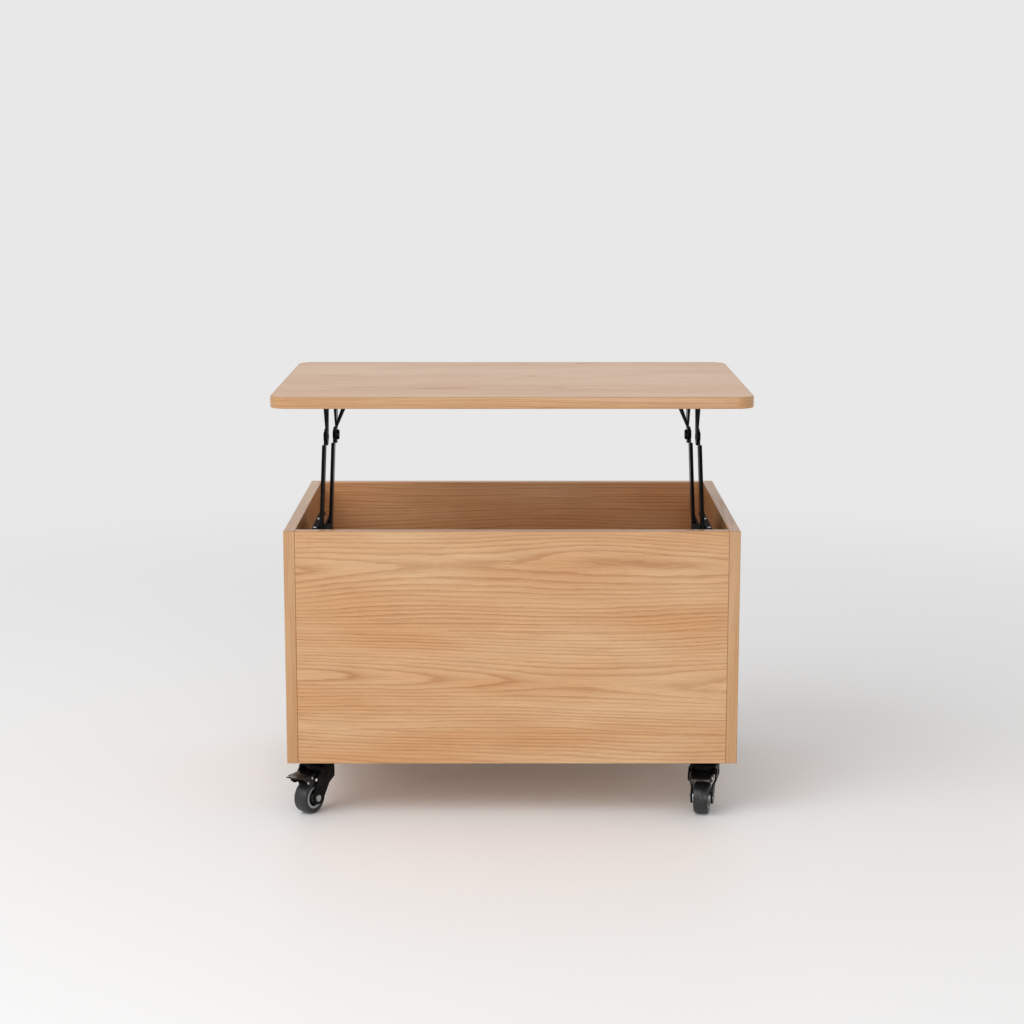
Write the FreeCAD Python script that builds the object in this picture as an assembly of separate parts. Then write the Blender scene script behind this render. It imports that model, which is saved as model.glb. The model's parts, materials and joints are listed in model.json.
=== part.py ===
import FreeCAD, Part
import math
import os

# Lift top end table on casters, drawn with its top raised.
# Millimetres, +Z up, front of the cabinet towards -Y. The floor is Z = 0 and the origin is
# under the middle of the raised table's bounding box.

Vector = FreeCAD.Vector

# ---- cabinet ----
cabinet_width = 600.0
cabinet_depth = 420.0
cabinet_height = 315.0
board_thickness = 15.0
board_arris = 0.6            # small bevel that every sawn board edge has
tongue_length = 5.0          # tongues of the front, back and bottom boards, let into grooves
tongue_thickness = 5.0
tongue_gap = 0.3             # groove past the tongue's end
tongue_stop = 14.0           # the grooves stop this far below the rim

# ---- lifting top ----
top_overhang = 5.0           # past the cabinet's front and sides when the top is down
top_rear_inset = 5.0         # back edge of the lowered top inside the cabinet's back face
top_thickness = 15.0
top_corner_radius = 22.0
top_arris = 1.2              # bevel along its edges
top_closed_gap = 0.5         # left over the rim when the top is down

# ---- lift linkage, one mirrored pair ----
arm_length = 185.0           # pin centre to pin centre
arm_width = 22.0
arm_depth = 4.2              # depth of the pressed channel
arm_web = 2.0
arm_bend_radius = 1.0
arm_eye_flat = 17.0          # flat stretch at each end, measured from the pin centre
near_round = 0.999           # share of a full round end, so that its two arcs stay apart
raised_angle = 60.0          # arms above the horizontal, leaning back
lowered_angle = -4.0
front_pin_setback = 58.0     # base pin behind the cabinet's front face
front_pin_drop = 56.0        # base pin below the rim
rear_pin_step = 44.0         # rear pins behind the front pins
rear_pin_drop = 3.0          # rear pins below the front pins
front_arm_offset = 26.4      # side board's inner face to the front arm
rear_arm_offset = 35.3       # side board's inner face to the rear arm
sheet = 2.5                  # bracket steel
sheet_bend = 2.0             # inner bend radius
leg_sheet = 2.0              # steel of the top bracket's legs
pin_radius = 4.0
pin_running = 0.06           # an arm's eye round its pin
pin_seat = 0.02              # a bracket's hole round its fixed pin
pin_gap = 0.1                # end play of an arm between its washers
washer_radius = 7.0
rivet_height = 1.2           # pin end past its bracket
head_radius = 6.8
head_height = 3.4
eye_radius = 12.0            # round steel left about a pin in a bracket

# base bracket, screwed to the side board
ear_gap = 1.6                # front arm to the ear beside it
bracket_front = 36.0         # behind the cabinet's front face
bracket_floor_drop = 92.0    # underside of the channel below the rim
ear_rear = 205.0
ear_drop = 6.0               # top edges of the ear and the cheek below the rim
ear_shoulder_drop = 40.0     # where their sloping rear edge starts
ear_shelf = 7.9              # flange on top of the ear, ahead of the rear arm
ear_shelf_end = 88.0
shelf_start = 40.0           # front end of both flanges
cheek_offset = 17.5          # side board's inner face to the cheek outside the front arm
cheek_front = 100.0          # front edge of the cheek's foot, behind the spring
cheek_bar = 6.0              # height of its bar over the spring
shelf_gap = 0.6              # its flange to the front arm
flange_front_drop = 42.0
flange_top_drop = 32.0
flange_rear_drop = 62.0
stop_start = 20.0            # along the raised arm, from its base pin
stop_length = 14.0
stop_gap = 0.3

# top bracket, screwed under the top
leg_gap = 0.6                # arm to the bracket leg beside it
saddle_front = 24.0          # saddle plate ahead of the front top pin
saddle_rear = 50.0           # saddle plate behind the rear top pin
saddle_inner = 60.0          # side board's inner face to the saddle's inner edge
leg_spread = 14.0            # how much wider a leg is at the saddle than at its pin
outer_leg_flange = 4.2       # front flange of each leg at the saddle
inner_leg_flange = 3.8
outer_flange_rise = 1.0      # lower end of that flange above its pin
inner_flange_rise = 14.0
brace_rise = 9.0             # lower end of the brace above the rear top pin
brace_width = 14.0
brace_lip = 5.0
brace_inset = 2.0            # upper end of the brace inside the saddle's edge

# lift spring, a torsion spring round the front base pin
spring_wire_radius = 1.2
spring_coil_gap = 0.2        # spring leg to the arm's lower edge
spring_turns = 4
spring_step = 36.0           # degrees of coil between the wire's sections
spring_wire_sides = 6
spring_pitch = 2.9
spring_offset = 4.6          # side board's inner face to the first coil
spring_leg = 34.0
spring_foot = 16.0
spring_sleeve_radius = 8.0

# ---- casters ----
caster_height = 74.0
caster_inset_side = 39.5     # kingpin inside the cabinet's side face
caster_inset_end = 40.0      # kingpin inside the cabinet's front and back faces
plate_size = 40.0
plate_thickness = 2.5
plate_corner = 5.0
race_radius = 17.0
race_height = 5.5
swivel_gap = 0.5
kingpin_radius = 4.0
kingpin_head_radius = 7.0
kingpin_head_height = 3.0
kingpin_play = 0.3
fork_sheet = 2.5
fork_bend = 3.0
fork_shoulder = 19.5         # outer face of a leg above the pinch
fork_pinch_top = 47.0        # the legs close in towards the wheel between these heights
fork_pinch_foot = 38.0
fork_back = 8.0              # rear edge of the legs behind the kingpin
fork_lead = 20.0             # front edge of the crown ahead of the kingpin
fork_neck = 26.0             # front edge of the legs beside the brake pedal
fork_neck_foot = 36.0
fork_neck_top = 52.0
crown_radius = 20.0
crown_skirt = 6.5            # height of the turned-down rim round the crown
trail = 22.0
axle_boss = 8.5
wheel_radius = 22.0
tread_width = 20.0
tyre_shoulder = 2.6          # bevel between the tread and the tyre's side
tyre_bore = 15.0
core_web = 8.0
core_rim = 2.2
core_rim_inset = 0.8
hub_radius = 8.0
hub_half = 12.2
wheel_side_gap = 0.3         # hub to the fork's leg
axle_radius = 3.0
axle_running = 0.06
hex_across_flats = 8.5
hex_height = 2.4
pedal_pivot_back = 6.0       # brake pivot ahead of the kingpin
pedal_pivot_rise = 54.0
pedal_pin_radius = 2.5
pedal_boss = 4.6
pedal_sheet = 2.4
pedal_half = 14.5            # half its width
pedal_wall = 2.0
pedal_crest = 3.2            # top face above the pivot
pedal_heel = 4.0             # rear end behind the pivot
pedal_nose = 50.0            # where the tip leaves the side walls, from the kingpin
pedal_reach = 64.0
pedal_tip_length = 8.0
pedal_tip_half = 6.0         # half the width of the tip's end
pedal_tip_rise = 2.4
pedal_wall_foot = 42.0       # lowest corner of the side walls
pedal_wall_slope = 4.0       # how far the nose leans back at that height
pedal_wall_rear = 28.5       # where the low part of the side walls ends, from the kingpin
pedal_wall_edge = 49.5       # their lower edge between the fork's legs
shoe_clearance = 2.8         # brake shoe above the tread when the brake is off
shoe_length = 8.0
shoe_width = 14.0
pedal_pin_end = 1.4          # brake pin past the fork's legs

# how each caster stands: swivelled from straight ahead, towards +X, in degrees
casters = {
    "front_left": {"side": -1, "end": -1, "heading": -34.0, "brake": True},
    "front_right": {"side": 1, "end": -1, "heading": -12.0, "brake": True},
    "rear_left": {"side": -1, "end": 1, "heading": 24.0, "brake": False},
    "rear_right": {"side": 1, "end": 1, "heading": 15.0, "brake": False},
}

# ---- sizes that follow ----
half_width = cabinet_width / 2
wall = half_width - board_thickness          # inner face of a side board
rim = caster_height + cabinet_height
raised = math.radians(raised_angle)
lowered = math.radians(lowered_angle)
lift_forward = arm_length * (math.cos(lowered) - math.cos(raised))
lift_height = arm_length * (math.sin(raised) - math.sin(lowered))
top_width = cabinet_width + 2 * top_overhang
top_depth = cabinet_depth + top_overhang - top_rear_inset
front_face = (top_overhang + lift_forward - cabinet_depth) / 2
back_face = front_face + cabinet_depth
top_front = front_face - top_overhang - lift_forward
top_underside = rim + top_closed_gap + lift_height
base_pins = {
    "front": (front_face + front_pin_setback, rim - front_pin_drop),
    "rear": (front_face + front_pin_setback + rear_pin_step, rim - front_pin_drop - rear_pin_drop),
}
arm_reach = (arm_length * math.cos(raised), arm_length * math.sin(raised))
top_pins = {end: (pin[0] + arm_reach[0], pin[1] + arm_reach[1]) for end, pin in base_pins.items()}
ear_offset = front_arm_offset + arm_depth + ear_gap
bracket_floor = rim - bracket_floor_drop
outer_leg = front_arm_offset + arm_depth + leg_gap
inner_leg = rear_arm_offset + arm_depth + leg_gap + pin_gap
axle_height = wheel_radius
fork_top = caster_height - plate_thickness - race_height - swivel_gap
fork_half = hub_half + wheel_side_gap        # inner face of a fork leg beside the wheel
fork_shoulder_half = fork_shoulder - fork_sheet


# ---- drawing helpers ----
def on_plan(a, b):
    return Vector(a, b, 0)


def on_front(a, b):
    return Vector(a, 0, b)


def on_side(a, b):
    return Vector(0, a, b)


across = {on_plan: Vector(0, 0, 1), on_front: Vector(0, 1, 0), on_side: Vector(1, 0, 0)}


def outline(corners, plane):
    """Closed wire through corners (a, b) or (a, b, radius), with each radius drawn as a tangent arc."""
    points = [plane(c[0], c[1]) for c in corners]
    radii = [c[2] if len(c) > 2 else 0.0 for c in corners]
    count = len(points)
    stops = []
    for i, (point, radius) in enumerate(zip(points, radii)):
        to_last = (points[i - 1] - point).normalize()
        to_next = (points[(i + 1) % count] - point).normalize()
        half = to_last.getAngle(to_next) / 2
        if radius == 0 or abs(half - math.pi / 2) < 1e-6:
            stops.append((point, None, point))
            continue
        run = radius / math.tan(half)
        centre = point + (to_last + to_next).normalize() * (radius / math.sin(half))
        middle = centre + (point - centre).normalize() * radius
        stops.append((point + to_last * run, middle, point + to_next * run))
    edges = []
    for i, (start, middle, end) in enumerate(stops):
        if middle is not None:
            edges.append(Part.Arc(start, middle, end).toShape())
        following = stops[(i + 1) % count][0]
        if (following - end).Length > 1e-6:
            edges.append(Part.LineSegment(end, following).toShape())
    return Part.Wire(edges)


def prism(corners, plane, start, depth):
    """Solid of an outline, from start to start + depth across its plane."""
    shape = Part.Face(outline(corners, plane)).extrude(across[plane] * depth)
    shape.translate(across[plane] * start)
    return shape


def turned(profile, centre, axis):
    """Solid of revolution of profile (distance along the axis, radius) about an axis through centre."""
    wire = Part.makePolygon([Vector(r, 0, h) for h, r in profile + profile[:1]])
    shape = Part.Face(wire).revolve(Vector(0, 0, 0), Vector(0, 0, 1), 360)
    shape.Placement = FreeCAD.Placement(centre, FreeCAD.Rotation(Vector(0, 0, 1), axis))
    return shape


def stepped(sections, centre, axis):
    """Turned piece from sections (start, end, radius) laid end to end along the axis."""
    profile = [(sections[0][0], 0.0)]
    for start, end, radius in sections:
        profile += [(start, radius), (end, radius)]
    profile.append((sections[-1][1], 0.0))
    return turned(profile, centre, axis)


def drilled(shape, point, axis, radius, length):
    return shape.cut(Part.makeCylinder(radius, length, point, axis))


def joined(shapes):
    return shapes[0].fuse(shapes[1:]).removeSplitter() if len(shapes) > 1 else shapes[0]


def save(name, shape):
    shape.exportStep(f"parts/{name}.step")


# ---- cabinet ----
def block(x_range, y_range, z_range):
    low = Vector(x_range[0], y_range[0], z_range[0])
    return Part.makeBox(x_range[1] - low.x, y_range[1] - low.y, z_range[1] - low.z, low)


def board(x_range, y_range, z_range):
    blank = block(x_range, y_range, z_range)
    return blank.makeChamfer(board_arris, blank.Edges)


def end_tongues(deep, middle):
    """Both ends' tongues of an upright board: their solids, each reaching deep into the side boards."""
    band = (middle - tongue_thickness / 2, middle + tongue_thickness / 2)
    tall = (caster_height + tongue_stop, rim - tongue_stop)
    reach = wall + deep
    return [block((-reach, -wall), band, tall), block((wall, reach), band, tall)]


def floor_tongue(deep):
    """The bottom board's tongue, running all round it."""
    middle = caster_height + board_thickness / 2
    return block((-wall - deep, wall + deep),
                 (front_face + board_thickness - deep, back_face - board_thickness + deep),
                 (middle - tongue_thickness / 2, middle + tongue_thickness / 2))


def build_cabinet():
    inside_front = front_face + board_thickness
    inside_back = back_face - board_thickness
    upright = (caster_height, rim)
    front_middle = front_face + board_thickness / 2
    back_middle = back_face - board_thickness / 2
    groove = tongue_length + tongue_gap
    grooves = end_tongues(groove, front_middle) + end_tongues(groove, back_middle)
    housing = floor_tongue(groove)
    sides = (("left_side_panel", (-half_width, -wall)), ("right_side_panel", (wall, half_width)))
    for name, x_range in sides:
        save(name, board(x_range, (front_face, back_face), upright).cut(grooves + [housing]))
    for name, y_range, middle in (("front_panel", (front_face, inside_front), front_middle),
                                  ("back_panel", (inside_back, back_face), back_middle)):
        panel = board((-wall, wall), y_range, upright).fuse(end_tongues(tongue_length, middle))
        save(name, panel.cut(housing).removeSplitter())
    base = (caster_height, caster_height + board_thickness)
    floor = board((-wall, wall), (inside_front, inside_back), base)
    save("bottom_panel", floor.fuse(floor_tongue(tongue_length)).removeSplitter())


def build_top():
    left, right = -top_width / 2, top_width / 2
    back = top_front + top_depth
    corner = top_corner_radius
    plan = [(left, top_front, corner), (right, top_front, corner),
            (right, back, corner), (left, back, corner)]
    slab = prism(plan, on_plan, top_underside, top_thickness)
    rims = [e for f in slab.Faces if abs(f.normalAt(0, 0).z) > 0.99 for e in f.Edges]
    save("table_top", slab.makeChamfer(top_arris, rims))


# ---- lift linkage ----
# Each piece is drawn for the left side with X measured from the side board's inner face, then placed.
def placed(shape, side):
    moved = shape.copy()
    moved.translate(Vector(-wall, 0, 0))
    return moved if side < 0 else moved.mirror(Vector(0, 0, 0), Vector(1, 0, 0))


def pin_point(pin, offset=0.0):
    return Vector(offset, pin[0], pin[1])


def base_bracket():
    """Channel on the side board, with an ear between the arms and a cheek outside the front arm."""
    floor = bracket_floor
    far = ear_offset + sheet
    bend = sheet_bend + sheet
    channel = [(0, rim), (0, floor, bend), (far, floor, bend), (far, rim), (far - sheet, rim),
               (far - sheet, floor + sheet, sheet_bend), (sheet, floor + sheet, sheet_bend), (sheet, rim)]
    start = front_face + bracket_front
    end = front_face + ear_rear
    blank = prism(channel, on_front, start, ear_rear - bracket_front)
    front_pin, rear_pin = base_pins["front"], base_pins["rear"]
    low = rim - flange_rear_drop
    flange = [(start, floor), (end, floor), (end, low, eye_radius), (rear_pin[0], low, eye_radius),
              (front_pin[0], rim - flange_top_drop, eye_radius),
              (start, rim - flange_front_drop, eye_radius)]
    crest_end = end - rear_pin_step / 2
    crest = rim - ear_drop
    shoulder = rim - ear_shoulder_drop
    ear = [(start, floor), (end, floor), (end, shoulder, eye_radius), (crest_end, crest),
           (start, crest, eye_radius)]
    middle = far / 2
    keep = joined([prism(flange, on_side, -sheet, sheet + middle), prism(ear, on_side, middle, far)])
    first = front_face + shelf_start
    foot = front_face + cheek_front
    cheek = [(first, crest), (first, crest - cheek_bar), (foot, crest - cheek_bar, cheek_bar), (foot, floor),
             (end, floor), (end, shoulder, eye_radius), (crest_end, crest)]
    edge = arm_width / 2 + stop_gap
    lug = [(stop_start, edge), (stop_start + stop_length, edge),
           (stop_start + stop_length, edge + sheet), (stop_start, edge + sheet)]
    bracket = joined([
        blank.common(keep),
        prism(cheek, on_side, cheek_offset, sheet),
        block((cheek_offset, front_arm_offset - shelf_gap), (first, crest_end), (crest - sheet, crest)),
        block((far - sheet, far + ear_shelf), (first, front_face + ear_shelf_end), (crest - sheet, crest)),
        prism([along_arm(t, p) for t, p in lug], on_side, front_arm_offset, far - front_arm_offset),
    ])
    inwards = Vector(1, 0, 0)
    through = sheet + 2
    hook = spring_foot_point()
    holes = [(pin_point(front_pin, -1), spring_sleeve_radius + pin_seat),
             (pin_point(front_pin, ear_offset - 1), pin_radius + pin_seat),
             (pin_point(rear_pin, ear_offset - 1), pin_radius + pin_seat),
             (Vector(-1, hook.y, hook.z), spring_wire_radius + spring_coil_gap)]
    for point, radius in holes:
        bracket = drilled(bracket, point, inwards, radius, through)
    return bracket


def along_arm(distance, ahead):
    """Side-view point on the raised front arm: distance from its base pin, ahead of its centre line."""
    base = base_pins["front"]
    return (base[0] + distance * math.cos(raised) - ahead * math.sin(raised),
            base[1] + distance * math.sin(raised) + ahead * math.cos(raised))


def arm(end_name, offset):
    """Pressed channel with a flat eye at each end. Its web is on the room side."""
    half = arm_width / 2
    plan = [(-half, -half, half), (-half, arm_length + half, half),
            (half, arm_length + half, half), (half, -half, half)]
    web_plan = [(a, b, r * near_round) for a, b, r in plan]
    web = prism(web_plan, on_side, arm_depth - arm_web, arm_web)
    outer = arm_bend_radius + arm_web
    section = [(0, -half), (0, -half + arm_web), (arm_depth - arm_web, -half + arm_web, arm_bend_radius),
               (arm_depth - arm_web, half - arm_web, arm_bend_radius), (0, half - arm_web), (0, half),
               (arm_depth, half, outer), (arm_depth, -half, outer)]
    rails = prism(section, on_plan, arm_eye_flat, arm_length - 2 * arm_eye_flat)
    pressing = joined([web, rails])
    for distance in (0, arm_length):
        pressing = drilled(pressing, Vector(-1, 0, distance), Vector(1, 0, 0),
                           pin_radius + pin_running, arm_depth + 2)
    pressing.rotate(Vector(0, 0, 0), Vector(1, 0, 0), raised_angle - 90)
    pressing.translate(pin_point(base_pins[end_name], offset))
    return pressing


def top_leg(pin, offset, flange, rise):
    """One leg of the top bracket: a plate round its pin and a front flange, given at the saddle."""
    top = top_underside - sheet / 2
    front = pin[0] - eye_radius
    rear = pin[0] + eye_radius
    below = pin[1] - eye_radius
    round_end = eye_radius * near_round
    side = [(front, below, round_end), (rear, below, round_end), (rear + leg_spread, top), (front, top)]
    foot = pin[1] + rise
    lip = [(offset + flange[0], top), (offset, foot), (offset + leg_sheet, foot), (offset + flange[1], top)]
    return joined([prism(side, on_side, offset, leg_sheet), prism(lip, on_front, front, leg_sheet)])


def top_bracket():
    front_pin, rear_pin = top_pins["front"], top_pins["rear"]
    start = front_pin[0] - saddle_front
    end = rear_pin[0] + saddle_rear
    corner = leg_spread / 2
    inner_front = rear_pin[0] - brace_width
    saddle = prism([(front_arm_offset, start, corner), (inner_leg + leg_sheet, start, corner),
                    (saddle_inner, inner_front, corner), (saddle_inner, end, corner),
                    (front_arm_offset, end, corner)], on_plan, top_underside - sheet, sheet)
    foot = rear_pin[1] + brace_rise
    head = top_underside - sheet
    face = inner_leg + leg_sheet
    inner = saddle_inner - brace_inset
    brace_front = rear_pin[0] - brace_width / 2
    strip = [(face, foot), (face, foot + 2 * sheet), (inner - leg_sheet, head + sheet / 2),
             (inner, head + sheet / 2), (inner, head)]
    lip = [(face, foot), (face, foot + 2 * brace_lip), (inner - brace_lip, head + sheet / 2),
           (inner, head + sheet / 2), (inner, head)]
    bracket = joined([
        saddle,
        top_leg(front_pin, outer_leg, (0, leg_sheet + outer_leg_flange), outer_flange_rise),
        top_leg(rear_pin, inner_leg, (-inner_leg_flange, leg_sheet), inner_flange_rise),
        prism(strip, on_front, brace_front, brace_width),
        prism(lip, on_front, brace_front, leg_sheet),
    ])
    for pin, offset in ((front_pin, outer_leg), (rear_pin, inner_leg)):
        bracket = drilled(bracket, pin_point(pin, offset - 1), Vector(1, 0, 0), pin_radius + pin_seat,
                          leg_sheet + 2)
    return bracket


def pin(end_name, pins, sections):
    return stepped(sections, pin_point(pins[end_name]), Vector(1, 0, 0))


def pins_by_name():
    """The four pins of one side, each with the washers that stay on it."""
    front_web = front_arm_offset + arm_depth - arm_web
    front_out = front_arm_offset + arm_depth
    rear_web = rear_arm_offset + arm_depth - arm_web
    rear_out = rear_arm_offset + arm_depth
    ear_out = ear_offset + sheet
    outer_out = outer_leg + leg_sheet
    inner_out = inner_leg + leg_sheet
    gap = pin_gap / 2
    return {
        "front_base_pin": pin("front", base_pins, [
            (pin_gap, front_web - gap, spring_sleeve_radius), (front_web - gap, front_out + gap, pin_radius),
            (front_out + gap, ear_offset, washer_radius), (ear_offset, ear_out + rivet_height, pin_radius)]),
        "rear_base_pin": pin("rear", base_pins, [
            (ear_offset - rivet_height, ear_out, pin_radius), (ear_out, rear_web - gap, washer_radius),
            (rear_web - gap, rear_out + gap, pin_radius),
            (rear_out + gap, rear_out + head_height, head_radius)]),
        "front_top_pin": pin("front", top_pins, [
            (front_web - gap - rivet_height, front_web - gap, head_radius),
            (front_web - gap, front_out + gap, pin_radius), (front_out + gap, outer_leg, washer_radius),
            (outer_leg, outer_out + rivet_height, pin_radius)]),
        "rear_top_pin": pin("rear", top_pins, [
            (rear_web - gap - rivet_height, rear_web - gap, head_radius),
            (rear_web - gap, inner_out, pin_radius), (inner_out, inner_out + head_height, head_radius)]),
    }


def spring_radius():
    return arm_width / 2 + spring_coil_gap + spring_wire_radius


def spring_foot_point():
    """Where the spring's foot turns into the bracket's wall flange."""
    base = base_pins["front"]
    return Vector(spring_offset, base[0] - spring_foot, base[1] - spring_radius())


def spring_line():
    """Points along the spring's wire: hook, foot, coil, the leg behind the arm and its bent end."""
    base = base_pins["front"]
    radius = spring_radius()
    foot = spring_foot_point()
    sweep = 360 * spring_turns + raised_angle
    steps = round(sweep / spring_step)
    line = [Vector(pin_gap, foot.y, foot.z), foot]
    for i in range(steps + 1):
        angle = math.radians(-90 + sweep * i / steps)
        line.append(Vector(spring_offset + spring_pitch * sweep * i / steps / 360,
                           base[0] + radius * math.cos(angle), base[1] + radius * math.sin(angle)))
    last = line[-1].x
    line.append(Vector(last, *along_arm(spring_leg, -radius)))
    line.append(Vector(front_arm_offset + arm_depth / 2, *along_arm(spring_leg, -radius)))
    return line


def wire_along(line, radius, sides):
    """Solid wire through the points of line, as a ruled loft of polygons that don't twist."""
    runs = [(b - a).normalize() for a, b in zip(line, line[1:])]
    mitres = [runs[0]] + [(a + b).normalize() for a, b in zip(runs, runs[1:])] + [runs[-1]]
    out = runs[0].cross(Vector(0, 0, 1)).normalize()
    sections = []
    for point, mitre in zip(line, mitres):
        out = (out - mitre * out.dot(mitre)).normalize()
        ring = [point + FreeCAD.Rotation(mitre, 360 * i / sides).multVec(out) * radius for i in range(sides)]
        sections.append(Part.makePolygon(ring + ring[:1]))
    return Part.makeLoft(sections, True, True)


def lift_spring():
    """Torsion spring: coiled about the front base pin, hooked in the bracket, with a leg behind the arm."""
    return wire_along(spring_line(), spring_wire_radius, spring_wire_sides)


def build_linkage():
    pieces = {
        "base_bracket": base_bracket(),
        "front_arm": arm("front", front_arm_offset),
        "rear_arm": arm("rear", rear_arm_offset),
        "top_bracket": top_bracket(),
        "lift_spring": lift_spring(),
    }
    pieces.update(pins_by_name())
    for side, side_name in ((-1, "left"), (1, "right")):
        for name, shape in pieces.items():
            save(f"{side_name}_{name}", placed(shape, side))


# ---- casters ----
# Each piece is drawn about its kingpin with the wheel trailing straight ahead, towards -Y, then placed.
def caster_plate():
    """Top plate with its pressed race, and the kingpin riveted in it that carries the fork."""
    half = plate_size / 2
    base = caster_height - plate_thickness
    plate = prism([(-half, -half, plate_corner), (half, -half, plate_corner), (half, half, plate_corner),
                   (-half, half, plate_corner)], on_plan, base, plate_thickness)
    race_foot = base - race_height
    under = fork_top - fork_sheet - kingpin_play
    race = stepped([(under - kingpin_head_height, under, kingpin_head_radius),
                    (under, race_foot, kingpin_radius), (race_foot, base, race_radius)],
                   Vector(0, 0, 0), Vector(0, 0, 1))
    return joined([plate, race])


def fork_section():
    """The fork seen from the front: wide at its crown, with legs that close in beside the wheel."""
    low = axle_height - 2 * axle_boss
    right = [(fork_shoulder, fork_top, fork_bend + fork_sheet), (fork_shoulder, fork_pinch_top),
             (fork_half + fork_sheet, fork_pinch_foot), (fork_half + fork_sheet, low),
             (fork_half, low), (fork_half, fork_pinch_foot), (fork_shoulder_half, fork_pinch_top),
             (fork_shoulder_half, fork_top - fork_sheet, fork_bend)]
    left = [(-corner[0],) + corner[1:] for corner in reversed(right)]
    return right + left


def caster_fork(brake):
    reach = fork_back + fork_neck + trail
    blank = prism(fork_section(), on_front, fork_back - reach, reach)
    boss = axle_boss
    side = [(fork_back, fork_top), (fork_back, fork_pinch_top), (boss - trail, axle_height - boss, boss),
            (-boss - trail, axle_height - boss, boss), (-boss - trail, axle_height + boss / 2),
            (-fork_neck, fork_neck_foot), (-fork_neck, fork_neck_top), (-fork_lead, fork_top - crown_skirt),
            (-fork_lead, fork_top)]
    fork = blank.common(prism(side, on_side, -fork_shoulder, 2 * fork_shoulder))
    crown = stepped([(fork_top - crown_skirt, fork_top, crown_radius)], Vector(0, 0, 0), Vector(0, 0, 1))
    hollow = stepped([(fork_top - 2 * crown_skirt, fork_top - fork_sheet, crown_radius - fork_sheet)],
                     Vector(0, 0, 0), Vector(0, 0, 1))
    fork = joined([fork, crown.cut(hollow)])
    fork = drilled(fork, Vector(0, 0, fork_top - 2 * fork_sheet), Vector(0, 0, 1),
                   kingpin_radius + axle_running, 3 * fork_sheet)
    fork = drilled(fork, Vector(-crown_radius, -trail, axle_height), Vector(1, 0, 0), axle_radius + pin_seat,
                   2 * crown_radius)
    if brake:
        fork = drilled(fork, Vector(-crown_radius, -pedal_pivot_back, pedal_pivot_rise), Vector(1, 0, 0),
                       pedal_pin_radius + pin_seat, 2 * crown_radius)
    return fork


def about_axle(profile):
    return turned(profile, Vector(0, -trail, axle_height), Vector(1, 0, 0))


def caster_tyre():
    half = tread_width / 2
    tread = half - tyre_shoulder
    shoulder = wheel_radius - tyre_shoulder / 2
    return about_axle([(-half, tyre_bore), (-half, shoulder), (-tread, wheel_radius),
                       (tread, wheel_radius), (half, shoulder), (half, tyre_bore)])


def caster_wheel_core():
    rim_half = tread_width / 2 - core_rim_inset
    web = core_web / 2
    rim_in = tyre_bore - core_rim
    return about_axle([(-rim_half, tyre_bore), (-rim_half, rim_in), (-web, rim_in), (-web, hub_radius),
                       (web, hub_radius), (web, rim_in), (rim_half, rim_in), (rim_half, tyre_bore)])


def caster_bearing():
    bore = axle_radius + axle_running
    return about_axle([(-hub_half, bore), (hub_half, bore), (hub_half, hub_radius), (-hub_half, hub_radius)])


def caster_axle():
    outer = fork_half + fork_sheet
    shank = Part.makeCylinder(axle_radius, 2 * outer, Vector(-outer, -trail, axle_height), Vector(1, 0, 0))
    corner = hex_across_flats / math.sqrt(3)
    hexagon = [(corner * math.cos(math.radians(a)) - trail, corner * math.sin(math.radians(a)) + axle_height)
               for a in range(0, 360, 60)]
    return joined([shank, prism(hexagon, on_side, outer, hex_height),
                   prism(hexagon, on_side, -outer - hex_height, hex_height)])


def brake_pedal():
    """Pressed lever that pivots between the fork's legs: a top face with side walls, a shoe and a tip."""
    pivot = (-pedal_pivot_back, pedal_pivot_rise)
    crest = pivot[1] + pedal_crest
    heel = pivot[0] + pedal_heel
    tip = -pedal_reach
    bend = tip + pedal_tip_length
    nose_foot = -pedal_nose + pedal_wall_slope
    sheet_foot = crest - pedal_sheet
    side = [(heel, crest), (bend, crest, pedal_sheet), (tip, crest + pedal_tip_rise),
            (tip, sheet_foot + pedal_tip_rise), (bend, sheet_foot, pedal_sheet), (-pedal_nose, sheet_foot),
            (nose_foot, pedal_wall_foot, pedal_wall), (-pedal_wall_rear, pedal_wall_foot, pedal_wall),
            (-pedal_wall_rear, pedal_wall_edge), (heel, pedal_wall_edge)]
    inside = [(heel + 1, sheet_foot), (-pedal_nose + pedal_wall, sheet_foot),
              (nose_foot + pedal_wall, pedal_wall_foot - 1), (heel + 1, pedal_wall_foot - 1)]
    lever = prism(side, on_side, -pedal_half, 2 * pedal_half)
    lever = lever.cut(prism(inside, on_side, pedal_wall - pedal_half, 2 * (pedal_half - pedal_wall)))
    plan = [(pedal_half, heel), (pedal_half, -pedal_nose), (pedal_tip_half, tip, pedal_tip_half / 2),
            (-pedal_tip_half, tip, pedal_tip_half / 2), (-pedal_half, -pedal_nose), (-pedal_half, heel)]
    lever = lever.common(prism(plan, on_plan, 0, caster_height))
    shoe = block((-shoe_width / 2, shoe_width / 2), (-trail - shoe_length / 2, -trail + shoe_length / 2),
                 (wheel_radius + axle_height + shoe_clearance, crest - pedal_sheet / 2))
    sleeve = fork_shoulder_half - wheel_side_gap
    boss = Part.makeCylinder(pedal_boss, 2 * sleeve, Vector(-sleeve, *pivot), Vector(1, 0, 0))
    return drilled(joined([lever, shoe, boss]), Vector(-fork_shoulder, *pivot), Vector(1, 0, 0),
                   pedal_pin_radius + axle_running, 2 * fork_shoulder)


def brake_pin():
    half = fork_shoulder + pedal_pin_end
    return Part.makeCylinder(pedal_pin_radius, 2 * half, Vector(-half, -pedal_pivot_back, pedal_pivot_rise),
                             Vector(1, 0, 0))


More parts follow.
